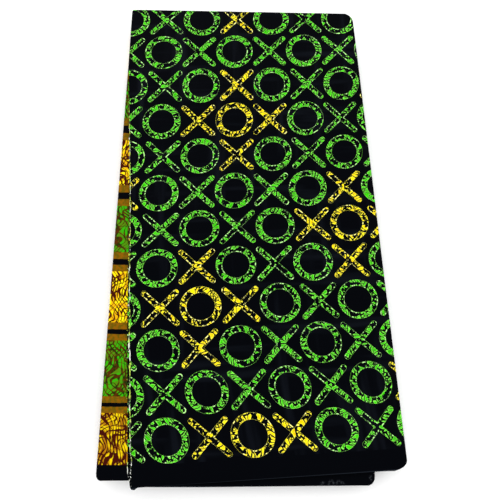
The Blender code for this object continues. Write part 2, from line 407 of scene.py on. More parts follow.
# %% Write down how the grain of the top leaf bows
# For a few y: where the column at CHART_COLUMN lies and how wide apart the columns are, which
# row lies there, and how much the rows rise to the right.
CHART_COLUMN = 3
GRAIN_BOW = (
    (-14.0, 132.0),
    (-61.0, 130.3),
    (-161.0, 126.0),
    (-256.0, 122.1),
    (-349.0, 120.4),
    (-443.0, 121.8),
    (-490.0, 125.6),
    (-538.0, 131.1),
)
COLUMNS_APART = (
    (-14.0, 45.5),
    (-61.0, 45.3),
    (-129.0, 44.9),
    (-228.0, 44.65),
    (-289.0, 44.8),
    (-349.0, 45.2),
    (-457.0, 45.5),
    (-538.0, 45.8),
)
ROWS_AT = (
    (-14.0, 0.0),
    (-62.1, 1.0),
    (-161.7, 3.0),
    (-256.5, 5.0),
    (-348.7, 7.0),
    (-442.7, 9.0),
    (-537.8, 11.0),
)
ROWS_RISE = ((0.0, 0.025), (-256.0, 0.024), (-349.0, 0.019), (-DEPTH, 0.015))


def chart_top(x, y):
    bowed = x - follow(GRAIN_BOW, y)
    column = CHART_COLUMN + bowed / follow(COLUMNS_APART, y)
    row = follow(ROWS_AT, y - follow(ROWS_RISE, y) * bowed)
    return RING_START + column * COLUMN_PITCH, FIRST_ROW + row * ROW_PITCH


middle = chart_top(TOP_WIDTH / 2, -DEPTH / 2)
print("The top leaf's middle is at", [round(value) for value in middle], "mm of cloth")

# %% Chart the leaves below it
# The bands of the block border, from the doubling fold to the selvage, evenly spaced in v.
# They were read at one x, and they come forward to the right because the leaf lies askew.
BANDS_AT = (
    (0.0, 0.0),
    (-86.0, 98.0),
    (-172.5, 178.0),
    (-260.3, 258.0),
    (-341.6, 338.0),
    (-421.9, 418.0),
    (-500.6, 498.0),
    (-561.5, SELVAGE),
)
BANDS_READ_AT = -10.0
ASKEW = 0.0557
# The last leaf's raw end lies this far along the cloth.
BOTTOM_START = RING_START + 9.0
# The hidden leaves are a little less deep than the cloth's half width, which is drawn to fit.
HIDDEN_STRETCH = 1.015


def chart_border(x, y):
    along = y + ASKEW * (x - BANDS_READ_AT)
    return BORDER_WIDTH / 2 + x - follow(BORDER_FOLD, along), follow(BANDS_AT, along)


def chart_lower(x, y):
    along = y + ASKEW * x
    return BORDER_WIDTH / 2 + PRINT_REPEAT - x + follow(BORDER_FOLD, along), -along


def chart_hidden(x, y):
    return x, -y * HIDDEN_STRETCH


def chart_bottom(x, y):
    return chart_hidden(BOTTOM_START + x - follow(SQUARE_LEFT, y), y)


border_end = chart_border(follow(BORDER_FOLD, -DEPTH), -DEPTH)
print("The border fold ends at", [round(value) for value in border_end], "mm of cloth")

# %% [markdown]
# ## From a leaf to a mesh
#
# The cloth of a leaf is one thin sheet that runs flat, turns round the doubling fold, and
# turns again into the next leaf. Two flat plies with tubes for their folds would look the
# same, but the print would break where they meet. One grid that is bent has no such joints,
# and each of its points knows where it was before it was bent.

# %% Space out the rows and stops of a leaf
# A row lies at a share along its leaf towards the front, at a lift over the leaf's middle,
# and so far back past its flat end. Rolled is how much cloth lies between that row and the
# upper ply's back end, or None on the lower ply. A stop lies at a share across the leaf, and
# at an angle round its fold. A grid has its points so many millimetres apart.
Row = namedtuple("Row", "along lift back rolled")
Stop = namedtuple("Stop", "across angle")
Grid = namedtuple("Grid", "across upper lower")
CORNER_STEPS = (0.0, 0.12, 0.35, 0.65)
DOUBLING_STEPS = 8
FOLD_STEPS = 10
TOP_GRID = Grid(across=2.9, upper=2.9, lower=20.0)


def along_stops(leaf, spacing):
    """Shares from back to front: close together in the rounded corners, even between them."""
    backs = max(leaf.corners[side][0].along for side in (-1, 1))
    fronts = max(leaf.corners[side][1].along for side in (-1, 1))
    back_stops = [share * backs / DEPTH for share in CORNER_STEPS]
    front_stops = [1 - share * fronts / DEPTH for share in reversed(CORNER_STEPS)]
    low, high = backs / DEPTH, 1 - fronts / DEPTH
    count = max(2, round((high - low) * DEPTH / spacing))
    return back_stops + steps(count, low, high) + front_stops


def leaf_rows(leaf, grid):
    """The doubled cloth from the lower selvage, round the doubling fold, to the upper one."""
    half = PLY_PITCH / 2
    rows = [Row(along, -half, 0.0, None) for along in reversed(along_stops(leaf, grid.lower))]
    for turn in steps(DOUBLING_STEPS, -90.0, 90.0)[1:-1]:
        angle = math.radians(turn)
        rolled = half * (math.pi / 2 - angle)
        rows.append(Row(0.0, half * math.sin(angle), half * math.cos(angle), rolled))
    return rows + [Row(along, half, 0.0, 0.0) for along in along_stops(leaf, grid.upper)]


def leaf_stops(spacing):
    """Stops across a leaf from its free end to its fold, then round the fold."""
    flat = [Stop(share, 0.0) for share in steps(round(TOP_WIDTH / spacing))]
    return flat + [Stop(1.0, math.radians(turn)) for turn in steps(FOLD_STEPS, 0, 180)[1:]]


top_stops, top_rows = leaf_stops(TOP_GRID.across), leaf_rows(TOP_LEAF, TOP_GRID)
print("The top leaf's grid has", len(top_stops), "by", len(top_rows), "points")


# %% Place a point of a leaf
def still(x, y, under):
    return 0.0


def leaf_point(leaf, stop, row, relief):
    """Places one point of the doubled cloth, and says where it is on the flat cloth."""
    across = stop.across if leaf.turns > 0 else 1 - stop.across
    under = 0.5 - row.lift / PLY_PITCH
    x, y = plan_point(leaf, across, row.along, under)
    # The outer ply of the fold is the one that faces away from the leaf it turns into.
    outward = FOLD_RADIUS - leaf.goes * row.lift
    flat_x = x + leaf.turns * outward * stop.angle
    flat_y = y + row.rolled if row.rolled is not None else -y
    x += leaf.turns * outward * math.sin(stop.angle)
    y += row.back
    z = leaf.level + leaf.goes * (FOLD_RADIUS - outward * math.cos(stop.angle))
    z += relief(x, y, under) * math.cos(stop.angle / 2) ** 4
    return (x, y, z * taper(y)), (flat_x, flat_y)


corner, _ = leaf_point(TOP_LEAF, top_stops[0], top_rows[-1], still)
print("The raw end's front corner in mm:", [round(value, 1) for value in corner])


# %% Lay a cloth
def cloth_spot(chart, x, y):
    """The lower ply's rows give y as a positive distance, so the chart is mirrored there."""
    if y <= 0:
        return chart(x, y)
    u, v = chart(x, -y)
    return u, -v


def lay_cloth(name, path, rows, point, chart):
    """A grid laid along a path and a section, with a UV map in metres of cloth."""
    bm = bmesh.new()
    across, around = len(path) - 1, len(rows) - 1
    bmesh.ops.create_grid(bm, x_segments=across, y_segments=around, size=0.5)
    on_cloth = {}
    for vert in bm.verts:
        stop = path[round((vert.co.x + 0.5) * across)]
        row = rows[round((vert.co.y + 0.5) * around)]
        spot, flat = point(stop, row)
        vert.co = place(*spot)
        on_cloth[vert] = cloth_spot(chart, *flat)
    cloth_map = bm.loops.layers.uv.new(CLOTH_MAP)
    for face in bm.faces:
        for loop in face.loops:
            loop[cloth_map].uv = Vector(on_cloth[loop.vert]) * MM
    mesh = bpy.data.meshes.new(name)
    bm.to_mesh(mesh)
    bm.free()
    mesh.shade_smooth()
    piece = put(name, mesh)
    ply = piece.modifiers.new("ply", "SOLIDIFY")
    ply.thickness = CLOTH_THICKNESS * MM
    ply.offset = 0.0
    ply.use_even_offset = True
    print(name, "has", len(mesh.polygons), "faces")
    return piece


def lay_leaf(name, leaf, grid, chart, relief):
    return lay_cloth(
        name,
        leaf_stops(grid.across),
        leaf_rows(leaf, grid),
        lambda stop, row: leaf_point(leaf, stop, row, relief),
        chart,
    )


print("Cloth is laid", CLOTH_THICKNESS, "mm thick")

# %% [markdown]
# ## The top leaf
#
# The leaf on top shows most of the print. Its plies end raw at the left, where nothing holds
# them and they droop. A bump map could draw its rolls on a flat leaf, but light falls across
# them and their edges show at the front, so they are real heights on a fine grid.

# %% Lay the top leaf
# The raw end droops by EDGE_DROOP, less and less over about DROOP_WIDTH.
EDGE_DROOP = 0.55
DROOP_WIDTH = 9.0


def top_relief(x, y, under):
    droop = EDGE_DROOP * math.exp(-((x - follow(RAW_EDGE, y)) / DROOP_WIDTH))
    loose = slack(x, y, ROLLS + CREASES, 0.0) * (1 - under)
    return loose - droop


top_cloth = lay_leaf("top_leaf_cloth", TOP_LEAF, TOP_GRID, chart_top, top_relief)
print("The raw end droops by", EDGE_DROOP, "mm")

# %% [markdown]
# ## The other loose leaves
#
# Under the top leaf lie the border leaf and the lower leaf, pressed flatter by what is on
# them, and the last leaf lies at the very bottom. The same function lays them all, on wider
# grids, because less of them shows. Only the lip of the lower leaf has short creases, where
# it was handled. They could be painted, but they catch the light, so they are heights too.

# %% Lay the leaves below it
PRESSED_SLACK = 0.5
PRESSED_SEED = 5.0
LIP_CREASES = (
    Crease(x=203.0, y=-590.4, turn=25.0, length=10.0, width=2.2, height=0.6),
    Crease(x=210.5, y=-590.2, turn=60.0, length=9.0, width=2.2, height=0.7),
    Crease(x=214.5, y=-590.0, turn=120.0, length=9.0, width=2.2, height=0.7),
    Crease(x=219.0, y=-590.4, turn=62.0, length=8.0, width=2.0, height=0.7),
    Crease(x=224.0, y=-590.6, turn=-35.0, length=11.0, width=2.2, height=0.6),
    Crease(x=255.5, y=-586.4, turn=45.0, length=7.0, width=1.8, height=0.8),
    Crease(x=255.5, y=-589.6, turn=-45.0, length=7.0, width=1.8, height=0.8),
)


def border_relief(x, y, under):
    return slack(x, y, (), PRESSED_SEED) * PRESSED_SLACK * (1 - under)


def lip_relief(x, y, under):
    return slack(x, y, LIP_CREASES, PRESSED_SEED) * PRESSED_SLACK * (1 - under)


BORDER_GRID = Grid(across=8.0, upper=8.0, lower=30.0)
LIP_GRID = Grid(across=2.5, upper=8.0, lower=30.0)
PLAIN_GRID = Grid(across=20.0, upper=20.0, lower=20.0)
border_cloth = lay_leaf(
    "border_leaf_cloth", BORDER_LEAF, BORDER_GRID, chart_border, border_relief
)
lower_cloth = lay_leaf("lower_leaf_cloth", LOWER_LEAF, LIP_GRID, chart_lower, lip_relief)
bottom_cloth = lay_leaf("bottom_leaf_cloth", BOTTOM_LEAF, PLAIN_GRID, chart_bottom, still)
print(len(LIP_CREASES), "short creases in the lip")

# %% [markdown]
# ## The hidden leaves
#
# Fourteen leaves lie between the loose ones. The CAD model gives them one rounded core, but
# from the side they show as a pile of thin folds that never quite line up. They could be
# fourteen leaves laid like the loose ones. They are one cloth here, so one long grid goes to
# and fro from leaf to leaf. How far each fold strays is a smooth noise, because hands and not
# a machine laid them.

# %% Describe the hidden leaves
HIDDEN_COUNT = 14
# The pressed leaves lie PRESSED_LEAF apart, down from PRESSED_TOP.
PRESSED_LEAF = 0.7
PRESSED_TOP = 13.6
LEAF_RUN = PRINT_REPEAT / 2
Hidden = namedtuple("Hidden", "index level half")


def hidden_leaf(index):
    """Where one hidden leaf lies, and half the gap between its plies. The first and the last
    are as loose as the leaves that they join, and the others are pressed."""
    if index == 0:
        return Hidden(index, LOWER_LEAF.level - LEAF_PITCH, PLY_PITCH / 2)
    if index == HIDDEN_COUNT - 1:
        return Hidden(index, BOTTOM_LEVEL + LEAF_PITCH, PLY_PITCH / 2)
    level = PRESSED_TOP - PRESSED_LEAF * (index - 0.5)
    return Hidden(index, level, PRESSED_LEAF / 4)


HIDDEN = [hidden_leaf(index) for index in range(HIDDEN_COUNT)]
levels = [round(leaf.level, 2) for leaf in HIDDEN]
print("Hidden leaves lie from", levels[-1], "to", levels[0], "mm high")

# %% Let the hidden leaves stray
# The heights of the solid core, and how far the border fold overhangs it at its top.
CORE_BOTTOM = SOLID_LEAF + 0.3
CORE_TOP = 16.2
CORE_OVERHANG = 3.0
# How far short of the packet's back and front the hidden corners end.
CORNER_BACK = 4.0
CORNER_FRONT = 8.0
# How far their edges stray, and how far the back is set in to allow for it.
SIDE_STRAY = 1.3
FRONT_STRAY = 1.6
BACK_STRAY = 0.6
BACK_ROOM = 0.5
# An edge strays as a whole and in waves of this length, in millimetres.
WHOLE_SHARE = 1.2
WAVE_SHARE = 0.6
WAVE_LENGTH = 120.0
# Far apart in the noise, so that no leaf strays like the next one.
SEED_STEP = 3.7


def stray(index, where, seed, amount):
    """How far a fold or an edge of one leaf lies from where it should."""
    whole = noise.noise(Vector((SEED_STEP * index, 1.3, seed)))
    wave = noise.noise(Vector((SEED_STEP * index, where / WAVE_LENGTH, seed + 9.0)))
    return amount * (WHOLE_SHARE * whole + WAVE_SHARE * wave)


def hidden_side(leaf, y, side):
    """The outermost x of a hidden leaf. The upper ones lie askew, like the leaves above."""
    askew = ((leaf.level - CORE_BOTTOM) / (CORE_TOP - CORE_BOTTOM)) ** 2
    if side < 0:
        x = between(follow(SQUARE_LEFT, y), follow(BORDER_FOLD, y) + CORE_OVERHANG, askew)
    else:
        x = between(follow(SQUARE_FOLD, y), follow(LOWER_FOLD, y), askew)
    to_back, to_front = -y - CORNER_BACK, DEPTH - CORNER_FRONT + y
    corner = corner_inset(PLAIN, to_back) + corner_inset(PLAIN, to_front)
    inward = SIDE_STRAY / 2 + stray(leaf.index, y, 20.0, SIDE_STRAY)
    return x - side * (corner + inward)


def hidden_y(index, x, along, ply):
    """Where a hidden leaf lies at a share from its back to its front."""
    back = follow(HIDDEN_BACK, x) - HIDDEN[index].half - BACK_ROOM
    back -= stray(index, x, 40.0, BACK_STRAY)
    # The two plies stray on their own at the front.
    front = follow(HIDDEN_FRONT, x) + FRONT_STRAY / 2
    front += stray(index + 40 * ply, x, 60.0, FRONT_STRAY)
    return between(back, front, along)


lefts = [hidden_side(leaf, -DEPTH / 2, -1) for leaf in HIDDEN]
print("Left folds at mid depth:", round(min(lefts), 1), "to", round(max(lefts), 1), "mm")


# %% Join the hidden leaves at their folds
def fold_side(index):
    """The side, left (-1) or right (1), where a hidden leaf turns into the next."""
    return -1 if index % 2 == 0 else 1


def turn_radius(index):
    return (HIDDEN[index].level - HIDDEN[index + 1].level) / 2


def fold_x(index, y):
    """Where the flat of a hidden leaf ends and its fold begins."""
    side = fold_side(index)
    reach = turn_radius(index) + HIDDEN[index].half + CLOTH_THICKNESS / 2
    return hidden_side(HIDDEN[index], y, side) - side * reach


def hidden_ends(index, y):
    """Where the flat of a hidden leaf starts and ends."""
    if index == 0:
        return beside_fold(LOWER_LEAF, y, 1), fold_x(0, y)
    if index == HIDDEN_COUNT - 1:
        return fold_x(index - 1, y), beside_fold(BOTTOM_LEAF, y, 1)
    return fold_x(index - 1, y), fold_x(index, y)


print("The first hidden leaf turns at x", round(fold_x(0, -DEPTH / 2), 1), "mm")

# %% Place a point of the hidden leaves
HiddenStop = namedtuple("HiddenStop", "index share angle")
# The share of a leaf's run of cloth that its fold takes.
FOLD_SHARE = 0.006


def hidden_point(stop, row):
    """Places one point of the cloth that goes to and fro between the loose leaves."""
    index, share, angle = stop
    leaf = HIDDEN[index]
    half, ply = leaf.half, 1 if row.lift > 0 else -1
    # The cloth turns over at each fold, so the ply on top takes turns.
    flips = -fold_side(index)
    x = between(*hidden_ends(index, -DEPTH * row.along), share)
    y = hidden_y(index, x, row.along, ply * flips)
    if angle:
        turned = (1 - math.cos(angle)) / 2
        y = between(y, hidden_y(index + 1, x, row.along, -ply * flips), turned)
        half = between(half, HIDDEN[index + 1].half, turned)
    x = between(*hidden_ends(index, y), share)
    lift = flips * row.lift * half
    z = leaf.level + lift
    if angle:
        radius = turn_radius(index)
        x += fold_side(index) * (radius + lift) * math.sin(angle)
        z = leaf.level - radius + (radius + lift) * math.cos(angle)
    y += row.back * half
    run = index + between(FOLD_SHARE / 2, 1 - FOLD_SHARE / 2, share)
    run += FOLD_SHARE * angle / math.pi
    flat_x = run * LEAF_RUN - LEAF_RUN + BORDER_WIDTH / 2 + PRINT_REPEAT
    flat_y = -y if row.rolled is None else y + row.rolled * half
    return (x, y, z * taper(y)), (flat_x, flat_y)


print("A hidden fold takes", round(FOLD_SHARE * LEAF_RUN, 2), "mm of cloth")

# %% Lay the hidden leaves
HIDDEN_SPACING = 22.0
# Shares of a leaf's depth: close together at its ends, even between them.
HIDDEN_ENDS = (0.0, 0.003, 0.008)
HIDDEN_EVEN_FROM = 0.02
HIDDEN_STOPS = (0.0, 0.1, 0.35, 0.65, 0.9, 1.0)
HIDDEN_FOLD_STEPS = 6


def hidden_rows():
    """Lifts are shares of half the gap between the plies, because that gap varies."""
    count = round(DEPTH / HIDDEN_SPACING)
    even = steps(count, HIDDEN_EVEN_FROM, 1 - HIDDEN_EVEN_FROM)
    along = [*HIDDEN_ENDS, *even, *(1 - end for end in reversed(HIDDEN_ENDS))]
    rows = [Row(share, -1.0, 0.0, None) for share in reversed(along)]
    for turn in (-45.0, 0.0, 45.0):
        angle = math.radians(turn)
        rows.append(Row(0.0, math.sin(angle), math.cos(angle), math.pi / 2 - angle))
    return rows + [Row(share, 1.0, 0.0, 0.0) for share in along]


def hidden_path():
    stops = []
    for index in range(HIDDEN_COUNT):
        stops += [HiddenStop(index, share, 0.0) for share in HIDDEN_STOPS]
        if index < HIDDEN_COUNT - 1:
            turns = steps(HIDDEN_FOLD_STEPS, 0.0, math.pi)[1:-1]
            stops += [HiddenStop(index, 1.0, turn) for turn in turns]
    return stops


hidden_cloth = lay_cloth(
    "hidden_leaves_cloth", hidden_path(), hidden_rows(), hidden_point, chart_hidden
)
print("One cloth makes", HIDDEN_COUNT, "hidden leaves")

# %% [markdown]
# ## Colours and nodes
#
# Colours are written as the hex values a picture shows, and turned to the linear values that
# the shader counts in. One function adds any node, with its settings and its links. Each of
# its sockets takes a number, a hex colour or the output of another node.

# %% Write the colour and node helpers
GROUND = "010205"


def linear(hex_colour):
    values = [int(hex_colour[i : i + 2], 16) / 255 for i in (0, 2, 4)]
    return (*((v / 12.92 if v <= 0.04045 else ((v + 0.055) / 1.055) ** 2.4) for v in values), 1.0)


def add(tree, kind, links, out=0, **settings):
    """Adds a node, sets what it is told, fills its sockets, and returns one of its outputs."""
    made = tree.nodes.new("ShaderNode" + kind)
    for name, value in settings.items():
        setattr(made, name, value)
    for socket, value in links.items():
        if isinstance(value, bpy.types.NodeSocket):
            tree.links.new(value, made.inputs[socket])
        else:
            made.inputs[socket].default_value = linear(value) if isinstance(value, str) else value
    return made.outputs[out]


def new_material(name, roughness, specular):
    """A material, its node tree, and the inputs of its shader."""
    material = bpy.data.materials.new(name)
    material.use_nodes = True
    shader = material.node_tree.nodes["Principled BSDF"].inputs
    shader["Roughness"].default_value = roughness
    shader["Specular IOR Level"].default_value = specular
    return material, material.node_tree, shader


# A Mix node goes from one end to the other as its share, socket 0, goes from 0 to 1. Its ends
# are sockets 6 and 7 for colours, and 4 and 5 for vectors.
COLOURS = {"out": 2, "data_type": "RGBA"}
VECTORS = {"out": 1, "data_type": "VECTOR"}
SMOOTH = {"interpolation_type": "SMOOTHSTEP"}

print("Ground black is", [round(value, 5) for value in linear(GROUND)[:3]])

# %% [markdown]
# ## The ring and cross print
#
# The print is a chequer of rings and crosses. Each kind of motif sits on two even lattices, so
# wrapping the cloth's coordinates round a lattice gives the way from the nearest motif's
# middle, and its length draws the motif. A painted image would do the same, but this stays
# sharp at any size and needs no file.

# %% Wrap the cloth round a lattice
# Every second row of the print is set a little to the right.
HALF_SHIFT = 3.0


def wrapped(tree, spot, reach):
    """The way from the nearest of some places that lie twice a reach apart."""
    minus = tuple(-size for size in reach)
    return add(tree, "VectorMath", {0: spot, 1: reach, 2: minus}, operation="WRAP")


def motif_lattice(tree, spot, column, row):
    """The way from the middle of the nearest motif of one lattice, and that motif's number."""
    shift = HALF_SHIFT if row == 0 else 0.0
    first = ((column * COLUMN_PITCH + shift) * MM, row * ROW_PITCH * MM, 0.0)
    pitch = (COLUMN_PITCH * MM, ROW_PITCH * MM, 1.0)
    moved = add(tree, "VectorMath", {0: spot, 1: first}, operation="SUBTRACT")
    offset = wrapped(tree, moved, pitch)
    middle = add(tree, "VectorMath", {0: moved, 1: offset}, operation="SUBTRACT")
    count = add(tree, "VectorMath", {0: middle, 1: pitch}, operation="DIVIDE")
    number = add(tree, "VectorMath", {0: count, 1: (column, row, 0.0)}, operation="ADD")
    return offset, number


print("Rings of one row are", 2 * COLUMN_PITCH, "mm apart")

# %% Measure how far a point is from a ring and from a cross
RING_RADIUS = 19.65
RING_HALF_BAND = 3.6
ARM_LENGTH = 25.3
ARM_HALF_WIDTH = 3.15
ARM_TURN = math.radians(45.0)


def ring_distance(tree, offset):
    """How far a point is outside the band of a ring, in metres, negative inside it."""
    length = add(tree, "VectorMath", {0: offset}, out=1, operation="LENGTH")
    from_band = add(tree, "Math", {0: length, 1: RING_RADIUS * MM}, operation="SUBTRACT")
    size = add(tree, "Math", {0: from_band}, operation="ABSOLUTE")
    return add(tree, "Math", {0: size, 1: RING_HALF_BAND * MM}, operation="SUBTRACT")


def cross_distance(tree, offset):
    """The same for two round-ended bars that cross at right angles."""
    lean = {"Vector": offset, "Angle": ARM_TURN}
    turned = add(tree, "VectorRotate", lean, rotation_type="Z_AXIS")
    size = add(tree, "VectorMath", {0: turned}, operation="ABSOLUTE")
    bars = []
    for length in ((ARM_LENGTH * MM, 0.0, 0.0), (0.0, ARM_LENGTH * MM, 0.0)):
        past = add(tree, "VectorMath", {0: size, 1: length}, operation="SUBTRACT")
        outside = add(tree, "VectorMath", {0: past, 1: (0.0, 0.0, 0.0)}, operation="MAXIMUM")
        bars.append(add(tree, "VectorMath", {0: outside}, out=1, operation="LENGTH"))
    nearer = add(tree, "Math", {0: bars[0], 1: bars[1]}, operation="MINIMUM")
    return add(tree, "Math", {0: nearer, 1: ARM_HALF_WIDTH * MM}, operation="SUBTRACT")


print("Rings are", 2 * (RING_RADIUS + RING_HALF_BAND), "mm across")

# %% Find the nearest motif
# The first column and row of each lattice, and what its motifs are.
LATTICES = (
    (0, 0, ring_distance),
    (1, 1, ring_distance),
    (1, 0, cross_distance),
    (0, 1, cross_distance),
)


def motifs(tree, spot):
    """How far the nearest motif's edge is, its column and row, and the way from its middle."""
    nearest, number, way = None, None, None
    for column, row, distance in LATTICES:
        this_way, this_number = motif_lattice(tree, spot, column, row)
        this_distance = distance(tree, this_way)
        if nearest is None:
            nearest, number, way = this_distance, this_number, this_way
            continue
        closer = add(tree, "Math", {0: this_distance, 1: nearest}, operation="LESS_THAN")
        number = add(tree, "Mix", {0: closer, 4: number, 5: this_number}, **VECTORS)
        way = add(tree, "Mix", {0: closer, 4: way, 5: this_way}, **VECTORS)
        nearest = add(tree, "Math", {0: this_distance, 1: nearest}, operation="MINIMUM")
    return nearest, number, way


print(len(LATTICES), "lattices make the chequer")


# %% Find the place in a motif's band
def place_in_band(tree, way, number):
    """How far along its motif's band a point lies, and how far off the band's middle."""
    way_x, way_y, _ = add(tree, "SeparateXYZ", {0: way}).node.outputs
    angle = add(tree, "Math", {0: way_y, 1: way_x}, operation="ARCTAN2")
    along = add(tree, "Math", {0: angle, 1: RING_RADIUS * MM}, operation="MULTIPLY")
    length = add(tree, "VectorMath", {0: way}, out=1, operation="LENGTH")
    off = add(tree, "Math", {0: length, 1: RING_RADIUS * MM}, operation="SUBTRACT")
    on_ring = add(tree, "CombineXYZ", {0: along, 1: off})

    # A bar's band runs straight, and the second bar swaps along and off.
    lean = {"Vector": way, "Angle": ARM_TURN}
    turned = add(tree, "VectorRotate", lean, rotation_type="Z_AXIS")
    turned_x, turned_y, _ = add(tree, "SeparateXYZ", {0: turned}).node.outputs
    swapped = add(tree, "CombineXYZ", {0: turned_y, 1: turned_x})
    size_x = add(tree, "Math", {0: turned_x}, operation="ABSOLUTE")
    size_y = add(tree, "Math", {0: turned_y}, operation="ABSOLUTE")
    on_second = add(tree, "Math", {0: size_y, 1: size_x}, operation="GREATER_THAN")
    on_arm = add(tree, "Mix", {0: on_second, 4: turned, 5: swapped}, **VECTORS)

    # Column and row together are odd on a cross and even on a ring.
    both = {0: number, 1: (1.0, 1.0, 0.0)}
    total = add(tree, "VectorMath", both, out=1, operation="DOT_PRODUCT")
    half_on = add(tree, "Math", {0: total, 1: 0.5}, operation="ADD")
    odd = add(tree, "Math", {0: half_on, 1: 2.0}, operation="FLOORED_MODULO")
    on_cross = add(tree, "Math", {0: odd, 1: 1.0}, operation="GREATER_THAN")
    return add(tree, "Mix", {0: on_cross, 4: on_ring, 5: on_arm}, **VECTORS)


print("A ring's band is", round(2 * math.pi * RING_RADIUS), "mm long")

# %% Pick the yellow clusters
CLUSTER_COLUMNS = 10
CLUSTER_ROWS = 12
# Row and column of the ring in the middle of each yellow cluster.
YELLOW_CLUSTERS = ((2, 8), (3, 3), (5, 9), (6, 6), (8, 2), (10, 8), (11, 3))
# The last cluster has no cross behind its ring.
LEFT_GREEN = (10, 3)
# Motifs are meant that lie fewer steps than this from a middle: the crosses are one off.
RING_AND_CROSSES = 1.5
ONE_MOTIF = 0.5


def total_size(tree, vector, weights):
    """The parts of a vector without their signs, each times its weight, added up."""
    size = add(tree, "VectorMath", {0: vector}, operation="ABSOLUTE")
    weighed = {0: size, 1: weights}
    return add(tree, "VectorMath", weighed, out=1, operation="DOT_PRODUCT")


def within(tree, number, middle, motifs_off):
    """One where a motif is less than so many columns and rows from the middle of a cluster."""
    row, column = middle
    half_repeat = (CLUSTER_COLUMNS / 2, CLUSTER_ROWS / 2, 1.0)
    away = add(tree, "VectorMath", {0: number, 1: (column, row, 0.0)}, operation="SUBTRACT")
    near = wrapped(tree, away, half_repeat)
    motifs_away = total_size(tree, near, (1.0, 1.0, 0.0))
    return add(tree, "Math", {0: motifs_away, 1: motifs_off}, operation="LESS_THAN")


def in_yellow_cluster(tree, number):
    """One where a motif is the ring of a yellow cluster or one of the crosses round it."""
    found = 0.0
    for middle in YELLOW_CLUSTERS:
        inside = within(tree, number, middle, RING_AND_CROSSES)
        found = add(tree, "Math", {0: found, 1: inside}, operation="MAXIMUM")
    green = within(tree, number, LEFT_GREEN, ONE_MOTIF)
    return add(tree, "Math", {0: found, 1: green}, operation="SUBTRACT")


print(len(YELLOW_CLUSTERS), "yellow clusters in the repeat")

# %% [markdown]
# ## Uneven dye
#
# Hand-crackled wax takes the dye unevenly, so the print has lighter and darker patches, and no
# edge is quite straight. A noise can do both: read as a value it makes patches, and read as a
# colour it pushes the coordinates about before a pattern is drawn on them.

# %% Write the helpers for uneven dye
def noise_at(tree, spot, size, seed, detail=2.0, out=0):
    """A noise of a size in millimetres, as a value (0) or as a colour (1)."""
    moved = add(tree, "VectorMath", {0: spot, 1: (seed, seed, 0.0)}, operation="ADD")
    scale = {"Vector": moved, "Scale": 1 / (size * MM), "Detail": detail}
    return add(tree, "TexNoise", scale, out=out, noise_dimensions="2D")


def patches(tree, spot, size, low, high, seed):
    """A noise that goes from 0 to 1 between two of its levels."""
    levels = {0: noise_at(tree, spot, size, seed), 1: low, 2: high}
    return add(tree, "MapRange", levels, **SMOOTH)


def warped(tree, spot, size, amount, seed=0.0, detail=2.0):
    """Cloth coordinates pushed about by a noise, by up to an amount in millimetres."""
    field = noise_at(tree, spot, size, seed, detail, out=1)
    centred = add(tree, "VectorMath", {0: field, 1: (0.5, 0.5, 0.5)}, operation="SUBTRACT")
    push = add(tree, "VectorMath", {0: centred, "Scale": 2 * amount * MM}, operation="SCALE")
    return add(tree, "VectorMath", {0: spot, 1: push}, operation="ADD")


EDGE_WOBBLE = 0.28
EDGE_WOBBLE_SIZE = 5.0
print("The print's edges stray by up to", EDGE_WOBBLE, "mm")

# %% [markdown]
# ## The cracks of the wax
#
# The cloth was stamped with hot wax, crumpled so that the wax cracked, and dyed, and the dye
# ran into the cracks. So each motif is a mosaic of small slanting pieces. The edges of Voronoi
# cells are such cracks. The cells are laid along each motif's own band, because the wax broke
# across it, and they are moved on for each motif, so no two crack alike.

# %% Lay slanting cracks across a band
PIECE = 3.9
PIECE_STRETCH = 0.4
CRACK_SLANT = 0.8
MOTIF_SHIFT = 1.37


def crack_depth(tree, spot, cell, narrowest, widest, wear):
    """How far a point is inside a piece of unbroken wax, in millimetres, between the edges of
    Voronoi cells. The cracks widen from their narrowest to their widest where it is worn."""
    scale = {"Vector": spot, "Scale": 1 / (cell * MM), "Randomness": 1.0}
    edges = add(tree, "TexVoronoi", scale, feature="DISTANCE_TO_EDGE", voronoi_dimensions="2D")
    depth = add(tree, "Math", {0: edges, 1: cell}, operation="MULTIPLY")
    width = add(tree, "MapRange", {0: wear, 3: narrowest, 4: widest})
    return add(tree, "Math", {0: depth, 1: width}, operation="SUBTRACT")


def along_slanting_cracks(tree, spot, in_band, number):
    """A place in a motif's band, sheared so that cells drawn there lie slantwise across it."""
    along, off, _ = add(tree, "SeparateXYZ", {0: in_band}).node.outputs
    lean = patches(tree, spot, size=16.0, low=0.3, high=0.7, seed=2.9)
    lean = add(tree, "MapRange", {0: lean, 3: -CRACK_SLANT, 4: CRACK_SLANT})
    slide = add(tree, "Math", {0: off, 1: lean}, operation="MULTIPLY")
    along = add(tree, "Math", {0: along, 1: slide}, operation="ADD")
    off = add(tree, "Math", {0: off, 1: PIECE_STRETCH}, operation="MULTIPLY")
    leaning = add(tree, "CombineXYZ", {0: along, 1: off})
    shift = add(tree, "VectorMath", {0: number, "Scale": MOTIF_SHIFT}, operation="SCALE")
    return add(tree, "VectorMath", {0: leaning, 1: shift}, operation="ADD")


print("A piece of wax is about", PIECE, "by", round(PIECE / PIECE_STRETCH, 1), "mm")

# %% Crack the wax of a motif
NARROW_CRACK = 0.5
WIDE_CRACK = 0.66
CRACK_BEND = 1.5
CRACK_BEND_SIZE = 9.0
# The cracks between crumbs are shut where their width is below 0.
CRUMB_CELL = 3.0
FEWEST_CRUMBS = -0.6
MOST_CRUMBS = 0.46
# In hollow pieces the dye took only along the motif's edge, as far in as RIM.
FEWEST_HOLLOW = 0.08
MOST_HOLLOW = 0.46
RIM = 1.05
EDGE_LINE = 0.06
# More than any depth in millimetres, so that it decides.
FAR_IN = 20.0


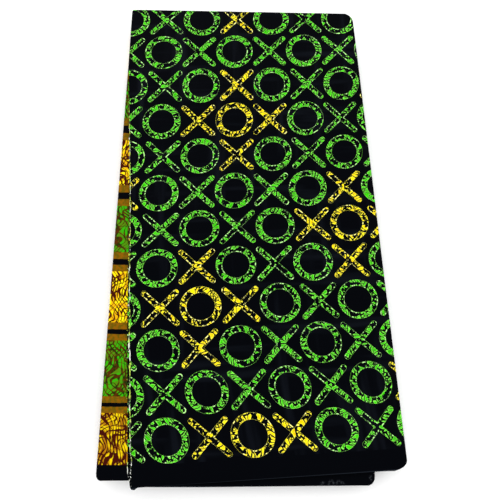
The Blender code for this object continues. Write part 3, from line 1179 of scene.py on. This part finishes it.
def cracked_wax(tree, spot, in_band, number, from_edge):
    """How far a point is inside dyed wax, in millimetres, and where the pieces are hollow."""
    bent = warped(tree, in_band, CRACK_BEND_SIZE, CRACK_BEND, seed=0.31, detail=0.0)
    leaning = along_slanting_cracks(tree, spot, bent, number)

    # Where the wax was worn the cracks are wider and more of the pieces are hollow.
    worn = patches(tree, spot, size=9.0, low=0.42, high=0.54, seed=1.7)
    piece = crack_depth(tree, leaning, PIECE, NARROW_CRACK, WIDE_CRACK, worn)
    scale = {"Vector": leaning, "Scale": 1 / (PIECE * MM), "Randomness": 1.0}
    chance = add(tree, "TexVoronoi", scale, out=1, feature="F1", voronoi_dimensions="2D")
    chance = add(tree, "SeparateXYZ", {0: chance})
    share = add(tree, "MapRange", {0: worn, 3: FEWEST_HOLLOW, 4: MOST_HOLLOW})
    hollow = add(tree, "Math", {0: chance, 1: share}, operation="LESS_THAN")
    rim = add(tree, "Math", {0: RIM, 1: from_edge}, operation="SUBTRACT")
    solid = add(tree, "Math", {0: hollow, 1: -FAR_IN, 2: FAR_IN}, operation="MULTIPLY_ADD")
    rim = add(tree, "Math", {0: rim, 1: solid}, operation="ADD")
    inside = add(tree, "Math", {0: piece, 1: rim}, operation="MINIMUM")

    # In other places the wax crumbled into small bits.
    crumbling = patches(tree, spot, size=8.0, low=0.49, high=0.56, seed=4.1)
    crumbs = crack_depth(tree, bent, CRUMB_CELL, FEWEST_CRUMBS, MOST_CRUMBS, crumbling)
    inside = add(tree, "Math", {0: inside, 1: crumbs}, operation="MINIMUM")

    # The stamped edge of a motif held, so a thin line of colour runs on along it.
    line = add(tree, "Math", {0: EDGE_LINE, 1: from_edge}, operation="SUBTRACT")
    inside = add(tree, "Math", {0: inside, 1: line}, operation="MAXIMUM")
    return add(tree, "Math", {0: inside, 1: from_edge}, operation="MINIMUM"), hollow


print("Cracks are", NARROW_CRACK, "to", WIDE_CRACK, "mm wide to each side")

# %% [markdown]
# ## The colours of the print
#
# The dye is strongest in the heart of a piece of wax and pale along its cracks, which is what
# makes the motifs glitter. A smooth step over a quarter of a millimetre cuts the motif out of
# the ground, and a wider one goes from the pale edge to the heart.

# %% Colour the ring and cross print
# The lighter grey of the sheen that is painted in streaks on the black ground.
GROUND_PAINTED_SHEEN = "090c12"
GREEN_EDGE = "90f858"
GREEN_RIM = "b8f694"
GREEN = "38c806"
GREEN_DEEP = "2aa404"
GOLD_EDGE = "fff748"
GOLD_RIM = "fffa90"
GOLD = "fae60a"
GOLD_DEEP = "ecbe04"
EDGE_FADE = 0.12
HEART_FROM = 0.05
HEART_TO = 0.5
# The way the streaks of sheen painted on the ground are drawn out, and a seed for each.
SHEEN_STREAKS = (((1.0, 0.1, 0.0), 0.21), ((0.1, 1.0, 0.0), 0.48))


def black_ground(tree, spot):
    """The black of the print, with a faint sheen painted on it: a little greyer in streaks along
    both ways of the threads, where the starch would catch the light."""
    sheen = 0.0
    for stretch, seed in SHEEN_STREAKS:
        drawn_out = add(tree, "VectorMath", {0: spot, 1: stretch}, operation="MULTIPLY")
        streaks = patches(tree, drawn_out, size=16.0, low=0.52, high=0.82, seed=seed)
        sheen = add(tree, "Math", {0: sheen, 1: streaks}, operation="MAXIMUM")
    return add(tree, "Mix", {0: sheen, 6: GROUND, 7: GROUND_PAINTED_SHEEN}, **COLOURS)


def ring_print(tree, spot):
    """The colour of the ring and cross print."""
    wobbly = warped(tree, spot, EDGE_WOBBLE_SIZE, EDGE_WOBBLE)
    start = (RING_START * MM, FIRST_ROW * MM, 0.0)
    on_lattice = add(tree, "VectorMath", {0: wobbly, 1: start}, operation="SUBTRACT")
    distance, number, way = motifs(tree, on_lattice)
    from_edge = add(tree, "Math", {0: distance, 1: -1 / MM}, operation="MULTIPLY")
    in_band = place_in_band(tree, way, number)
    inside, hollow = cracked_wax(tree, spot, in_band, number, from_edge)

    dyed = add(tree, "MapRange", {0: inside, 1: -EDGE_FADE, 2: EDGE_FADE}, **SMOOTH)
    heart = add(tree, "MapRange", {0: inside, 1: HEART_FROM, 2: HEART_TO}, **SMOOTH)
    uneven = patches(tree, spot, size=5.0, low=0.35, high=0.65, seed=7.7)
    motif_colours = []
    for edge, rim, light, deep in (
        (GREEN_EDGE, GREEN_RIM, GREEN, GREEN_DEEP),
        (GOLD_EDGE, GOLD_RIM, GOLD, GOLD_DEEP),
    ):
        middle = add(tree, "Mix", {0: uneven, 6: light, 7: deep}, **COLOURS)
        piece = add(tree, "Mix", {0: heart, 6: edge, 7: middle}, **COLOURS)
        motif_colours.append(add(tree, "Mix", {0: hollow, 6: piece, 7: rim}, **COLOURS))
    green, gold = motif_colours
    yellow = in_yellow_cluster(tree, number)
    motif = add(tree, "Mix", {0: yellow, 6: green, 7: gold}, **COLOURS)
    return add(tree, "Mix", {0: dyed, 6: black_ground(tree, spot), 7: motif}, **COLOURS)


print("Green is", [round(value, 3) for value in linear(GREEN)[:3]])

# %% [markdown]
# ## The block border
#
# A strip of the print has blocks in yellow and green with branching brown veins. Between the
# blocks runs an ochre band with a black bar along its middle. The veins could be Voronoi cells
# too, but those close on themselves. Here they are even lines that a noise pushes about until
# they wander, meet and part, as the real ones do.

# %% Draw the wandering veins
Vein = namedtuple("Vein", "pitch lean size sway half_width seed")
VEINS = (
    Vein(pitch=4.5, lean=10.0, size=24.0, sway=11.0, half_width=0.76, seed=1.91),
    Vein(pitch=5.2, lean=-24.0, size=18.0, sway=10.0, half_width=0.72, seed=3.19),
    Vein(pitch=9.0, lean=46.0, size=14.0, sway=8.0, half_width=0.6, seed=6.53),
)
# Shares of a vein's half width that it thins and thickens to.
THINNEST_VEIN = 0.5
THICKEST_VEIN = 1.5
# Further in metres than the cloth goes either way, for an axis that isn't to be wrapped.
UNWRAPPED = 100.0


def vein_depth(tree, spot, vein, wear):
    """How far a point is from the nearest of some lines that wander across the cloth, in
    millimetres, less the width of the line."""
    lean = {"Vector": spot, "Angle": math.radians(vein.lean)}
    leaning = add(tree, "VectorRotate", lean, rotation_type="Z_AXIS")
    bent = warped(tree, leaning, vein.size, vein.sway, seed=vein.seed, detail=0.0)
    near = wrapped(tree, bent, (vein.pitch / 2 * MM, UNWRAPPED, UNWRAPPED))
    away = total_size(tree, near, (1 / MM, 0.0, 0.0))
    thinnest, thickest = vein.half_width * THINNEST_VEIN, vein.half_width * THICKEST_VEIN
    width = add(tree, "MapRange", {0: wear, 3: thinnest, 4: thickest})
    return add(tree, "Math", {0: away, 1: width}, operation="SUBTRACT")


print(len(VEINS), "sets of veins")

# %% Find the bands and blocks of the border
BAND_PITCH = 80.0
FIRST_BAND = 18.0
# Half widths of a bar and a band, near the doubling fold and near the selvage, and where
# across the cloth those are, in metres.
BAND_HALVES = (15.0, 8.8)
BAR_HALVES = (5.4, 2.1)
WIDEST_AT = 0.1
NARROWEST_AT = 0.5


def block_bands(tree, across):
    """One in a bar, one in a band, and one in a green block, from the place across the cloth."""
    from_first = add(tree, "Math", {0: across, 1: FIRST_BAND * MM}, operation="SUBTRACT")
    count = add(tree, "Math", {0: from_first, 1: BAND_PITCH * MM}, operation="DIVIDE")
    nearest = add(tree, "Math", {0: count}, operation="ROUND")
    off = add(tree, "Math", {0: count, 1: nearest}, operation="SUBTRACT")
    size = add(tree, "Math", {0: off}, operation="ABSOLUTE")
    from_band = add(tree, "Math", {0: size, 1: BAND_PITCH}, operation="MULTIPLY")
    found = []
    for widest, narrowest in (BAR_HALVES, BAND_HALVES):
        ends = {0: across, 1: WIDEST_AT, 2: NARROWEST_AT, 3: widest, 4: narrowest}
        half = add(tree, "MapRange", ends)
        found.append(add(tree, "Math", {0: from_band, 1: half}, operation="LESS_THAN"))
    below = add(tree, "Math", {0: count}, operation="FLOOR")
    odd = add(tree, "Math", {0: below, 1: 2.0}, operation="FLOORED_MODULO")
    return (*found, odd)


print("Blocks and bands repeat every", BAND_PITCH, "mm")

# %% Colour the block border
BLOCK_GOLD = "e0c209"
BLOCK_GOLD_DEEP = "a06a07"
# Away from the selvages the gold is brighter. It fades between these, in metres across.
BRIGHT_GOLD = "ffea0c"
BRIGHT_GOLD_DEEP = "dca40a"
BRIGHT_TO = 0.4
DULL_FROM = 0.52
BLOCK_GREEN = "2ea008"
BLOCK_GREEN_DEEP = "4a7a0a"
GOLD_VEIN = "3c0c05"
GREEN_VEIN = "1c2a04"
GREEN_VEIN_BROWN = "4f2605"
OCHRE = "7f5204"
OCHRE_OLIVE = "5e4c06"
VEIN_FADE = (-0.15, 0.25)


def block_print(tree, spot):
    """The colour of the block border."""
    uneven = warped(tree, spot, size=7.0, amount=0.6, seed=8.3)
    across = total_size(tree, uneven, (0.0, 1.0, 0.0))
    bar, band, odd = block_bands(tree, across)

    wear = patches(tree, spot, size=13.0, low=0.36, high=0.64, seed=5.3)
    depths = [vein_depth(tree, spot, vein, wear) for vein in VEINS]
    inside = depths[0]
    for depth in depths[1:]:
        inside = add(tree, "Math", {0: inside, 1: depth}, operation="MINIMUM")
    clear = add(tree, "MapRange", {0: inside, 1: VEIN_FADE[0], 2: VEIN_FADE[1]}, **SMOOTH)

    shade = patches(tree, spot, size=9.0, low=0.38, high=0.62, seed=9.1)
    mottle = patches(tree, spot, size=4.0, low=0.35, high=0.65, seed=11.9)
    front = add(tree, "MapRange", {0: across, 1: BRIGHT_TO, 2: DULL_FROM})
    bright = add(tree, "Mix", {0: shade, 6: BRIGHT_GOLD, 7: BRIGHT_GOLD_DEEP}, **COLOURS)
    dull = add(tree, "Mix", {0: shade, 6: BLOCK_GOLD, 7: BLOCK_GOLD_DEEP}, **COLOURS)
    gold = add(tree, "Mix", {0: front, 6: bright, 7: dull}, **COLOURS)
    gold = add(tree, "Mix", {0: clear, 6: GOLD_VEIN, 7: gold}, **COLOURS)
    green = add(tree, "Mix", {0: shade, 6: BLOCK_GREEN, 7: BLOCK_GREEN_DEEP}, **COLOURS)
    green_vein = add(tree, "Mix", {0: mottle, 6: GREEN_VEIN, 7: GREEN_VEIN_BROWN}, **COLOURS)
    green = add(tree, "Mix", {0: clear, 6: green_vein, 7: green}, **COLOURS)
    ochre = add(tree, "Mix", {0: mottle, 6: OCHRE, 7: OCHRE_OLIVE}, **COLOURS)
    block = add(tree, "Mix", {0: odd, 6: gold, 7: green}, **COLOURS)
    banded = add(tree, "Mix", {0: band, 6: block, 7: ochre}, **COLOURS)
    return add(tree, "Mix", {0: bar, 6: banded, 7: GROUND}, **COLOURS)


print("Block gold is", [round(value, 3) for value in linear(BLOCK_GOLD)[:3]])

# %% [markdown]
# ## Woven wax-print cotton
#
# The cloth is plain weave, about 30 threads a centimetre, with starch and wax left in it, so
# it is matt with a faint sheen. The print soaks through, and the selvage stays plain black.
# The whole length has one material, and the cloth's coordinates say which part of the print
# lies where. Separate materials would need a seam where the parts of the print meet.

# %% Lay the print on the cloth
# A lighter grey line is painted along the outermost threads of a selvage, as a highlight where
# the front edge catches the light.
SELVAGE_HIGHLIGHT_FROM = 582.4
SELVAGE_HIGHLIGHT_GREY = "161a20"


def printed_colour(tree):
    """The print at every place of the cloth: blocks, rings and crosses, or plain selvage with a
    painted highlight along its edge.
    """
    spot = add(tree, "UVMap", {}, uv_map=CLOTH_MAP)
    repeat = (PRINT_REPEAT * MM, UNWRAPPED, UNWRAPPED)
    start = (0.0, -UNWRAPPED, -UNWRAPPED)
    spot = add(tree, "VectorMath", {0: spot, 1: repeat, 2: start}, operation="WRAP")
    u, v, _ = add(tree, "SeparateXYZ", {0: spot}).node.outputs
    across = add(tree, "Math", {0: v}, operation="ABSOLUTE")
    rings = ring_print(tree, spot)
    blocks = block_print(tree, spot)
    in_border = add(tree, "Math", {0: u, 1: BORDER_WIDTH * MM}, operation="LESS_THAN")
    in_selvage = add(tree, "Math", {0: across, 1: SELVAGE * MM}, operation="GREATER_THAN")
    in_edge_highlight = add(tree, "Math", {0: across, 1: SELVAGE_HIGHLIGHT_FROM * MM}, operation="GREATER_THAN")
    printed = add(tree, "Mix", {0: in_border, 6: rings, 7: blocks}, **COLOURS)
    # The outermost threads of the selvage get a painted grey highlight.
    selvage = add(tree, "Mix", {0: in_edge_highlight, 6: GROUND, 7: SELVAGE_HIGHLIGHT_GREY}, **COLOURS)
    return spot, add(tree, "Mix", {0: in_selvage, 6: printed, 7: selvage}, **COLOURS)


print("The plain selvage is", round(DEPTH - SELVAGE, 1), "mm wide")

# %% Weave the threads and paint highlights on the creases
THREAD = 0.33
# Threads this fine fall between the pixels, so the weave is drawn at twice its real pitch.
DRAWN_THREAD = 2 * THREAD
# The grey of the highlights painted on the ridges of the lip's creases.
CREASE_HIGHLIGHT_GREY = "2e3236"
# A painted highlight is an oval on the crease. Its half sizes are these shares of the crease's
# length and width, and the print comes back between the two shares of them in the fade.
HIGHLIGHT_LENGTH = 1 / 3
HIGHLIGHT_WIDTH = 2 / 3
HIGHLIGHT_FADE = (0.3, 1.2)


def weave_height(tree, spot):
    """Threads over and under each other."""
    turns = 2 * math.pi / (DRAWN_THREAD * MM)
    scaled = add(tree, "VectorMath", {0: spot, "Scale": turns / 2}, operation="SCALE")
    wave = add(tree, "VectorMath", {0: scaled}, operation="SINE")
    along, across, _ = add(tree, "SeparateXYZ", {0: wave}).node.outputs
    return add(tree, "Math", {0: along, 1: across}, operation="MULTIPLY")


def painted_crease_highlights(tree):
    """One along the ridges of the short creases of the lip, where a grey highlight is painted."""
    where = add(tree, "TexCoord", {}, out="Object")
    painted_highlight = 0.0
    for crease in LIP_CREASES:
        middle = place(crease.x, crease.y, 0.0)
        away = add(tree, "VectorMath", {0: where, 1: middle}, operation="SUBTRACT")
        lean = {"Vector": away, "Angle": -math.radians(crease.turn)}
        turned = add(tree, "VectorRotate", lean, rotation_type="Z_AXIS")
        half_length = HIGHLIGHT_LENGTH * crease.length * MM
        half_width = HIGHLIGHT_WIDTH * crease.width * MM
        grow = (1 / half_length, 1 / half_width, 0.0)
        shares = add(tree, "VectorMath", {0: turned, 1: grow}, operation="MULTIPLY")
        length = add(tree, "VectorMath", {0: shares}, out=1, operation="LENGTH")
        ridge = add(tree, "MapRange", {0: length, 1: HIGHLIGHT_FADE[1], 2: HIGHLIGHT_FADE[0]})
        painted_highlight = add(tree, "Math", {0: painted_highlight, 1: ridge}, operation="MAXIMUM")
    specks = patches(tree, where, size=1.6, low=0.42, high=0.56, seed=0.7)
    return add(tree, "Math", {0: painted_highlight, 1: specks}, operation="MULTIPLY")


print("Threads are", THREAD, "mm apart and drawn", DRAWN_THREAD, "mm apart")

# %% Make the cotton
# The eye gets deep flat black with clear colours on it, and a grain of threads close up. The
# rough finish spreads what little the starch reflects, so no highlight shows from the lamps. The
# ground's faint sheen and the highlights on the lip's creases are painted into the colour.
def wax_print_cotton():
    material, tree, shader = new_material(
        "woven wax-print cotton", roughness=0.6, specular=0.018
    )
    spot, colour = printed_colour(tree)
    # Grey highlights are painted along the ridges of the lip's creases.
    colour = add(tree, "Mix", {0: painted_crease_highlights(tree), 6: colour, 7: CREASE_HIGHLIGHT_GREY}, **COLOURS)
    tree.links.new(colour, shader["Base Color"])
    height = weave_height(tree, spot)
    bump = add(tree, "Bump", {"Strength": 0.25, "Distance": 0.00008, "Height": height})
    tree.links.new(bump, shader["Normal"])
    return material


cotton = wax_print_cotton()
for piece in (top_cloth, border_cloth, lower_cloth, bottom_cloth, hidden_cloth):
    piece.data.materials.append(cotton)
print(len(cotton.node_tree.nodes), "nodes in the cotton")

# %% [markdown]
# ## The frayed end
#
# The length was torn or cut at its end, so short fibres stand out of both plies along most of
# it, and a few threads have come loose and wander beside the edge. Hair particles would do for
# the fibres, but each is only a thin tube, so all are drawn as curves and joined into one
# mesh. They take the print's colour where they grow, mixed with the undyed cotton that shows
# where a thread is cut.

# %% Describe the loose threads
# A thread starts and ends at a y, lies off the raw edge of the upper ply (0) or the lower one
# (1), and sways by about its wave.
Loose = namedtuple("Loose", "start end offset wave radius under")
LOOSE_THREADS = (
    Loose(start=-140.0, end=-330.0, offset=-0.1, wave=0.5, radius=0.34, under=0.0),
    Loose(start=-330.0, end=-563.0, offset=-0.7, wave=0.9, radius=0.46, under=0.0),
    Loose(start=-300.0, end=-540.0, offset=-0.3, wave=0.8, radius=0.30, under=0.0),
    Loose(start=-559.0, end=-572.0, offset=0.1, wave=0.7, radius=0.40, under=1.0),
    Loose(start=-567.0, end=-571.0, offset=-0.8, wave=0.6, radius=0.46, under=0.0),
    Loose(start=-573.0, end=-579.0, offset=-1.2, wave=3.0, radius=0.34, under=0.2),
)
# A thread has a point every LOOSE_STEP and lies LOOSE_LIFT above its ply.
LOOSE_STEP = 1.6
LOOSE_LIFT = 0.15
# Sizes in millimetres of the noises that make a loose thread sway, and thicken and thin.
SWAY_SIZE = 7.0
THICK_SIZE = 14.0


def add_tube(curve, points, radius):
    spline = curve.splines.new("POLY")
    spline.points.add(len(points) - 1)
    for point, (spot, share) in zip(spline.points, points):
        point.co = (*spot, 1.0)
        point.radius = radius * share


def raw_x(y, under):
    return follow(RAW_EDGE, y) - follow(UNDER_PLY_PEEK, y) * under


def edge_height(under, y):
    lift = PLY_PITCH * (0.5 - under)
    return (TOP_LEVEL + lift - EDGE_DROOP) * taper(y)


def lay_loose_threads(curve):
    for loose in LOOSE_THREADS:
        points = []
        count = round((loose.start - loose.end) / LOOSE_STEP)
        for y in steps(count, loose.start, loose.end):
            sway = noise.noise(Vector((y / SWAY_SIZE, loose.offset, 3.0))) * loose.wave * 2
            x = raw_x(y, loose.under) + loose.offset + sway
            z = edge_height(loose.under, y) + LOOSE_LIFT
            thick = 1.0 + 0.5 * noise.noise(Vector((y / THICK_SIZE, loose.offset, 8.0)))
            points.append((place(x, y, z), thick))
        add_tube(curve, points, loose.radius)


print(len(LOOSE_THREADS), "loose threads")

# %% Grow the fibres
random.seed(11)
FIBRE_SPACING = 2.4
FIBRE_RADIUS = 0.12
# A fibre starts this far inside the raw edge.
FIBRE_ROOT = 0.5
# Fibres of the lower ply stand this many times as far apart, because the upper one hides them.
UNDER_SPACING = 4.0
# Near the doubling fold the end is cut clean.
FRAYS_FROM = -130.0


def grow_fibres(curve, under):
    spacing = between(FIBRE_SPACING, UNDER_SPACING * FIBRE_SPACING, under)
    y = FRAYS_FROM
    while y > -DEPTH + 1.0:
        edge = raw_x(y, under)
        z = edge_height(under, y)
        length = random.uniform(0.5, 1.5)
        lean = random.uniform(-0.7, 0.7)
        drop = random.uniform(-0.1, 0.35)
        points = [
            (place(edge + FIBRE_ROOT, y, z), 1.0),
            (place(edge - length * 0.5, y + lean * 0.4, z - drop * 0.4), 0.9),
            (place(edge - length, y + lean, z - drop), 0.5),
        ]
        add_tube(curve, points, FIBRE_RADIUS)
        y -= random.uniform(0.5, 1.5) * spacing


thread_curve = bpy.data.curves.new("threads", "CURVE")
thread_curve.dimensions = "3D"
thread_curve.bevel_depth = MM
thread_curve.bevel_resolution = 0
for under in (0.0, 1.0):
    grow_fibres(thread_curve, under)
print(len(thread_curve.splines), "fibres")


# %% Join the threads into one mesh
def mesh_of(curve):
    tubes = put("threads", curve)
    bpy.context.view_layer.update()
    graph = bpy.context.evaluated_depsgraph_get()
    mesh = bpy.data.meshes.new_from_object(tubes.evaluated_get(graph))
    bpy.data.objects.remove(tubes)
    mesh.name = "frayed_threads"
    return mesh


def chart_threads(mesh):
    """Gives each tube the cloth's coordinates where it lies, in place of a curve's own."""
    for layer in list(mesh.uv_layers):
        mesh.uv_layers.remove(layer)
    layer = mesh.uv_layers.new(name=CLOTH_MAP)
    for loop in mesh.loops:
        spot = plan(mesh.vertices[loop.vertex_index].co)
        layer.data[loop.index].uv = [value * MM for value in chart_top(spot.x, spot.y)]


lay_loose_threads(thread_curve)
thread_mesh = mesh_of(thread_curve)
chart_threads(thread_mesh)
threads = put("frayed_threads", thread_mesh)
print("threads:", len(threads.data.polygons), "faces")

# %% Colour the threads
# Undyed and half-dyed cotton: pale, matt ends that make the raw edge a thin dotted line.
HALF_DYED = "c4e058"
UNDYED = "e6e9e0"
MOSTLY_DYED = 0.9


def thread_cotton():
    material, tree, shader = new_material("frayed cotton thread", roughness=0.85, specular=0.2)
    spot, colour = printed_colour(tree)
    white = patches(tree, spot, size=9.0, low=0.45, high=0.6, seed=3.3)

    # Along the black selvage every thread is pale.
    across = total_size(tree, spot, (0.0, 1 / MM, 0.0))
    plain = add(tree, "Math", {0: across, 1: SELVAGE}, operation="SUBTRACT")
    white = add(tree, "Math", {0: white, 1: plain}, operation="MAXIMUM", use_clamp=True)

    thread = add(tree, "Mix", {0: white, 6: HALF_DYED, 7: UNDYED}, **COLOURS)
    dark = patches(tree, spot, size=4.0, low=0.46, high=0.56, seed=14.2)
    dyed = add(tree, "Mix", {0: MOSTLY_DYED, 6: thread, 7: colour}, **COLOURS)
    mixed = add(tree, "Mix", {0: dark, 6: thread, 7: dyed}, **COLOURS)
    tree.links.new(mixed, shader["Base Color"])
    return material


threads.data.materials.clear()
threads.data.materials.append(thread_cotton())
print("The threads' material is", threads.data.materials[0].name)

# %% [markdown]
# ## The floor and the light
#
# The photograph is cut out on white, so a plain pale floor and soft light from large panels
# stand in for it. The panels stand to the sides, because light from right above would lay a
# grey shine over the black ground of the print.

# %% Lay the floor
# White studio paper is matt and nearly as bright as paper can be, so it shows plain white.
FLOOR_SIZE = 30.0
FLOOR_DROP = 0.0004
floor_mesh = bpy.data.meshes.new("floor")
bm = bmesh.new()
bmesh.ops.create_grid(bm, x_segments=1, y_segments=1, size=FLOOR_SIZE / 2)
bmesh.ops.translate(bm, verts=bm.verts, vec=(0.0, 0.0, -FLOOR_DROP))
bm.to_mesh(floor_mesh)
bm.free()
floor = put("floor", floor_mesh)
paper, _, paper_shader = new_material("white studio paper", roughness=0.9, specular=0.1)
paper_shader["Base Color"].default_value = linear("fafafa")
floor_mesh.materials.append(paper)
print("The floor is", FLOOR_SIZE, "m wide")

# %% Set the lights
WORLD_STRENGTH = 1.06
world = bpy.data.worlds.new("studio")
world.use_nodes = True
world.node_tree.nodes["Background"].inputs[0].default_value = (1.0, 1.0, 1.0, 1.0)
world.node_tree.nodes["Background"].inputs[1].default_value = WORLD_STRENGTH
bpy.context.scene.world = world

PANEL_HEIGHT = 1.2
PANEL_SIZE = 1.4
Panel = namedtuple("Panel", "name x y power")
PANELS = (
    Panel("back_panel", x=-0.4, y=1.6, power=13.0),
    Panel("left_panel", x=-1.6, y=-0.2, power=6.0),
    Panel("right_panel", x=1.6, y=0.2, power=6.0),
    Panel("front_panel", x=0.3, y=-1.6, power=5.0),
)
for panel in PANELS:
    light_data = bpy.data.lights.new(panel.name, "AREA")
    light_data.size = PANEL_SIZE
    light_data.energy = panel.power
    light = put(panel.name, light_data)
    light.location = (panel.x, panel.y, PANEL_HEIGHT)
    light.rotation_euler = (-Vector(light.location)).to_track_quat("-Z", "Y").to_euler()
bpy.context.scene.view_settings.view_transform = "Standard"
print("Light panels:", ", ".join(panel.name for panel in PANELS))

# %% [markdown]
# ## Hand the pieces to the frame
#
# Each cloth rides on the packet's one body, stands for its CAD solid, and says how large a
# cut of cloth it is. The whole length is 5.49 m by 1.17 m.

Sheet = namedtuple("Sheet", "piece node slot length rests_on")
SHEETS = (
    Sheet(top_cloth, "top_leaf", "ring_print", 0.300, [border_cloth.name]),
    Sheet(border_cloth, "border_leaf", "block_print", 0.318, [lower_cloth.name]),
    Sheet(lower_cloth, "lower_leaf", "black_selvage", 0.300, [hidden_cloth.name]),
    Sheet(
        hidden_cloth,
        "folded_core",
        "hidden_leaves",
        HIDDEN_COUNT * LEAF_RUN * MM,
        [bottom_cloth.name],
    ),
    Sheet(bottom_cloth, "bottom_leaf", "ring_print", 0.292, []),
)
for sheet in SHEETS:
    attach(sheet.piece, "root")
    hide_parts(sheet.node)
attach(threads, "root")
print("Length drawn:", round(sum(sheet.length for sheet in SHEETS), 3), "m")
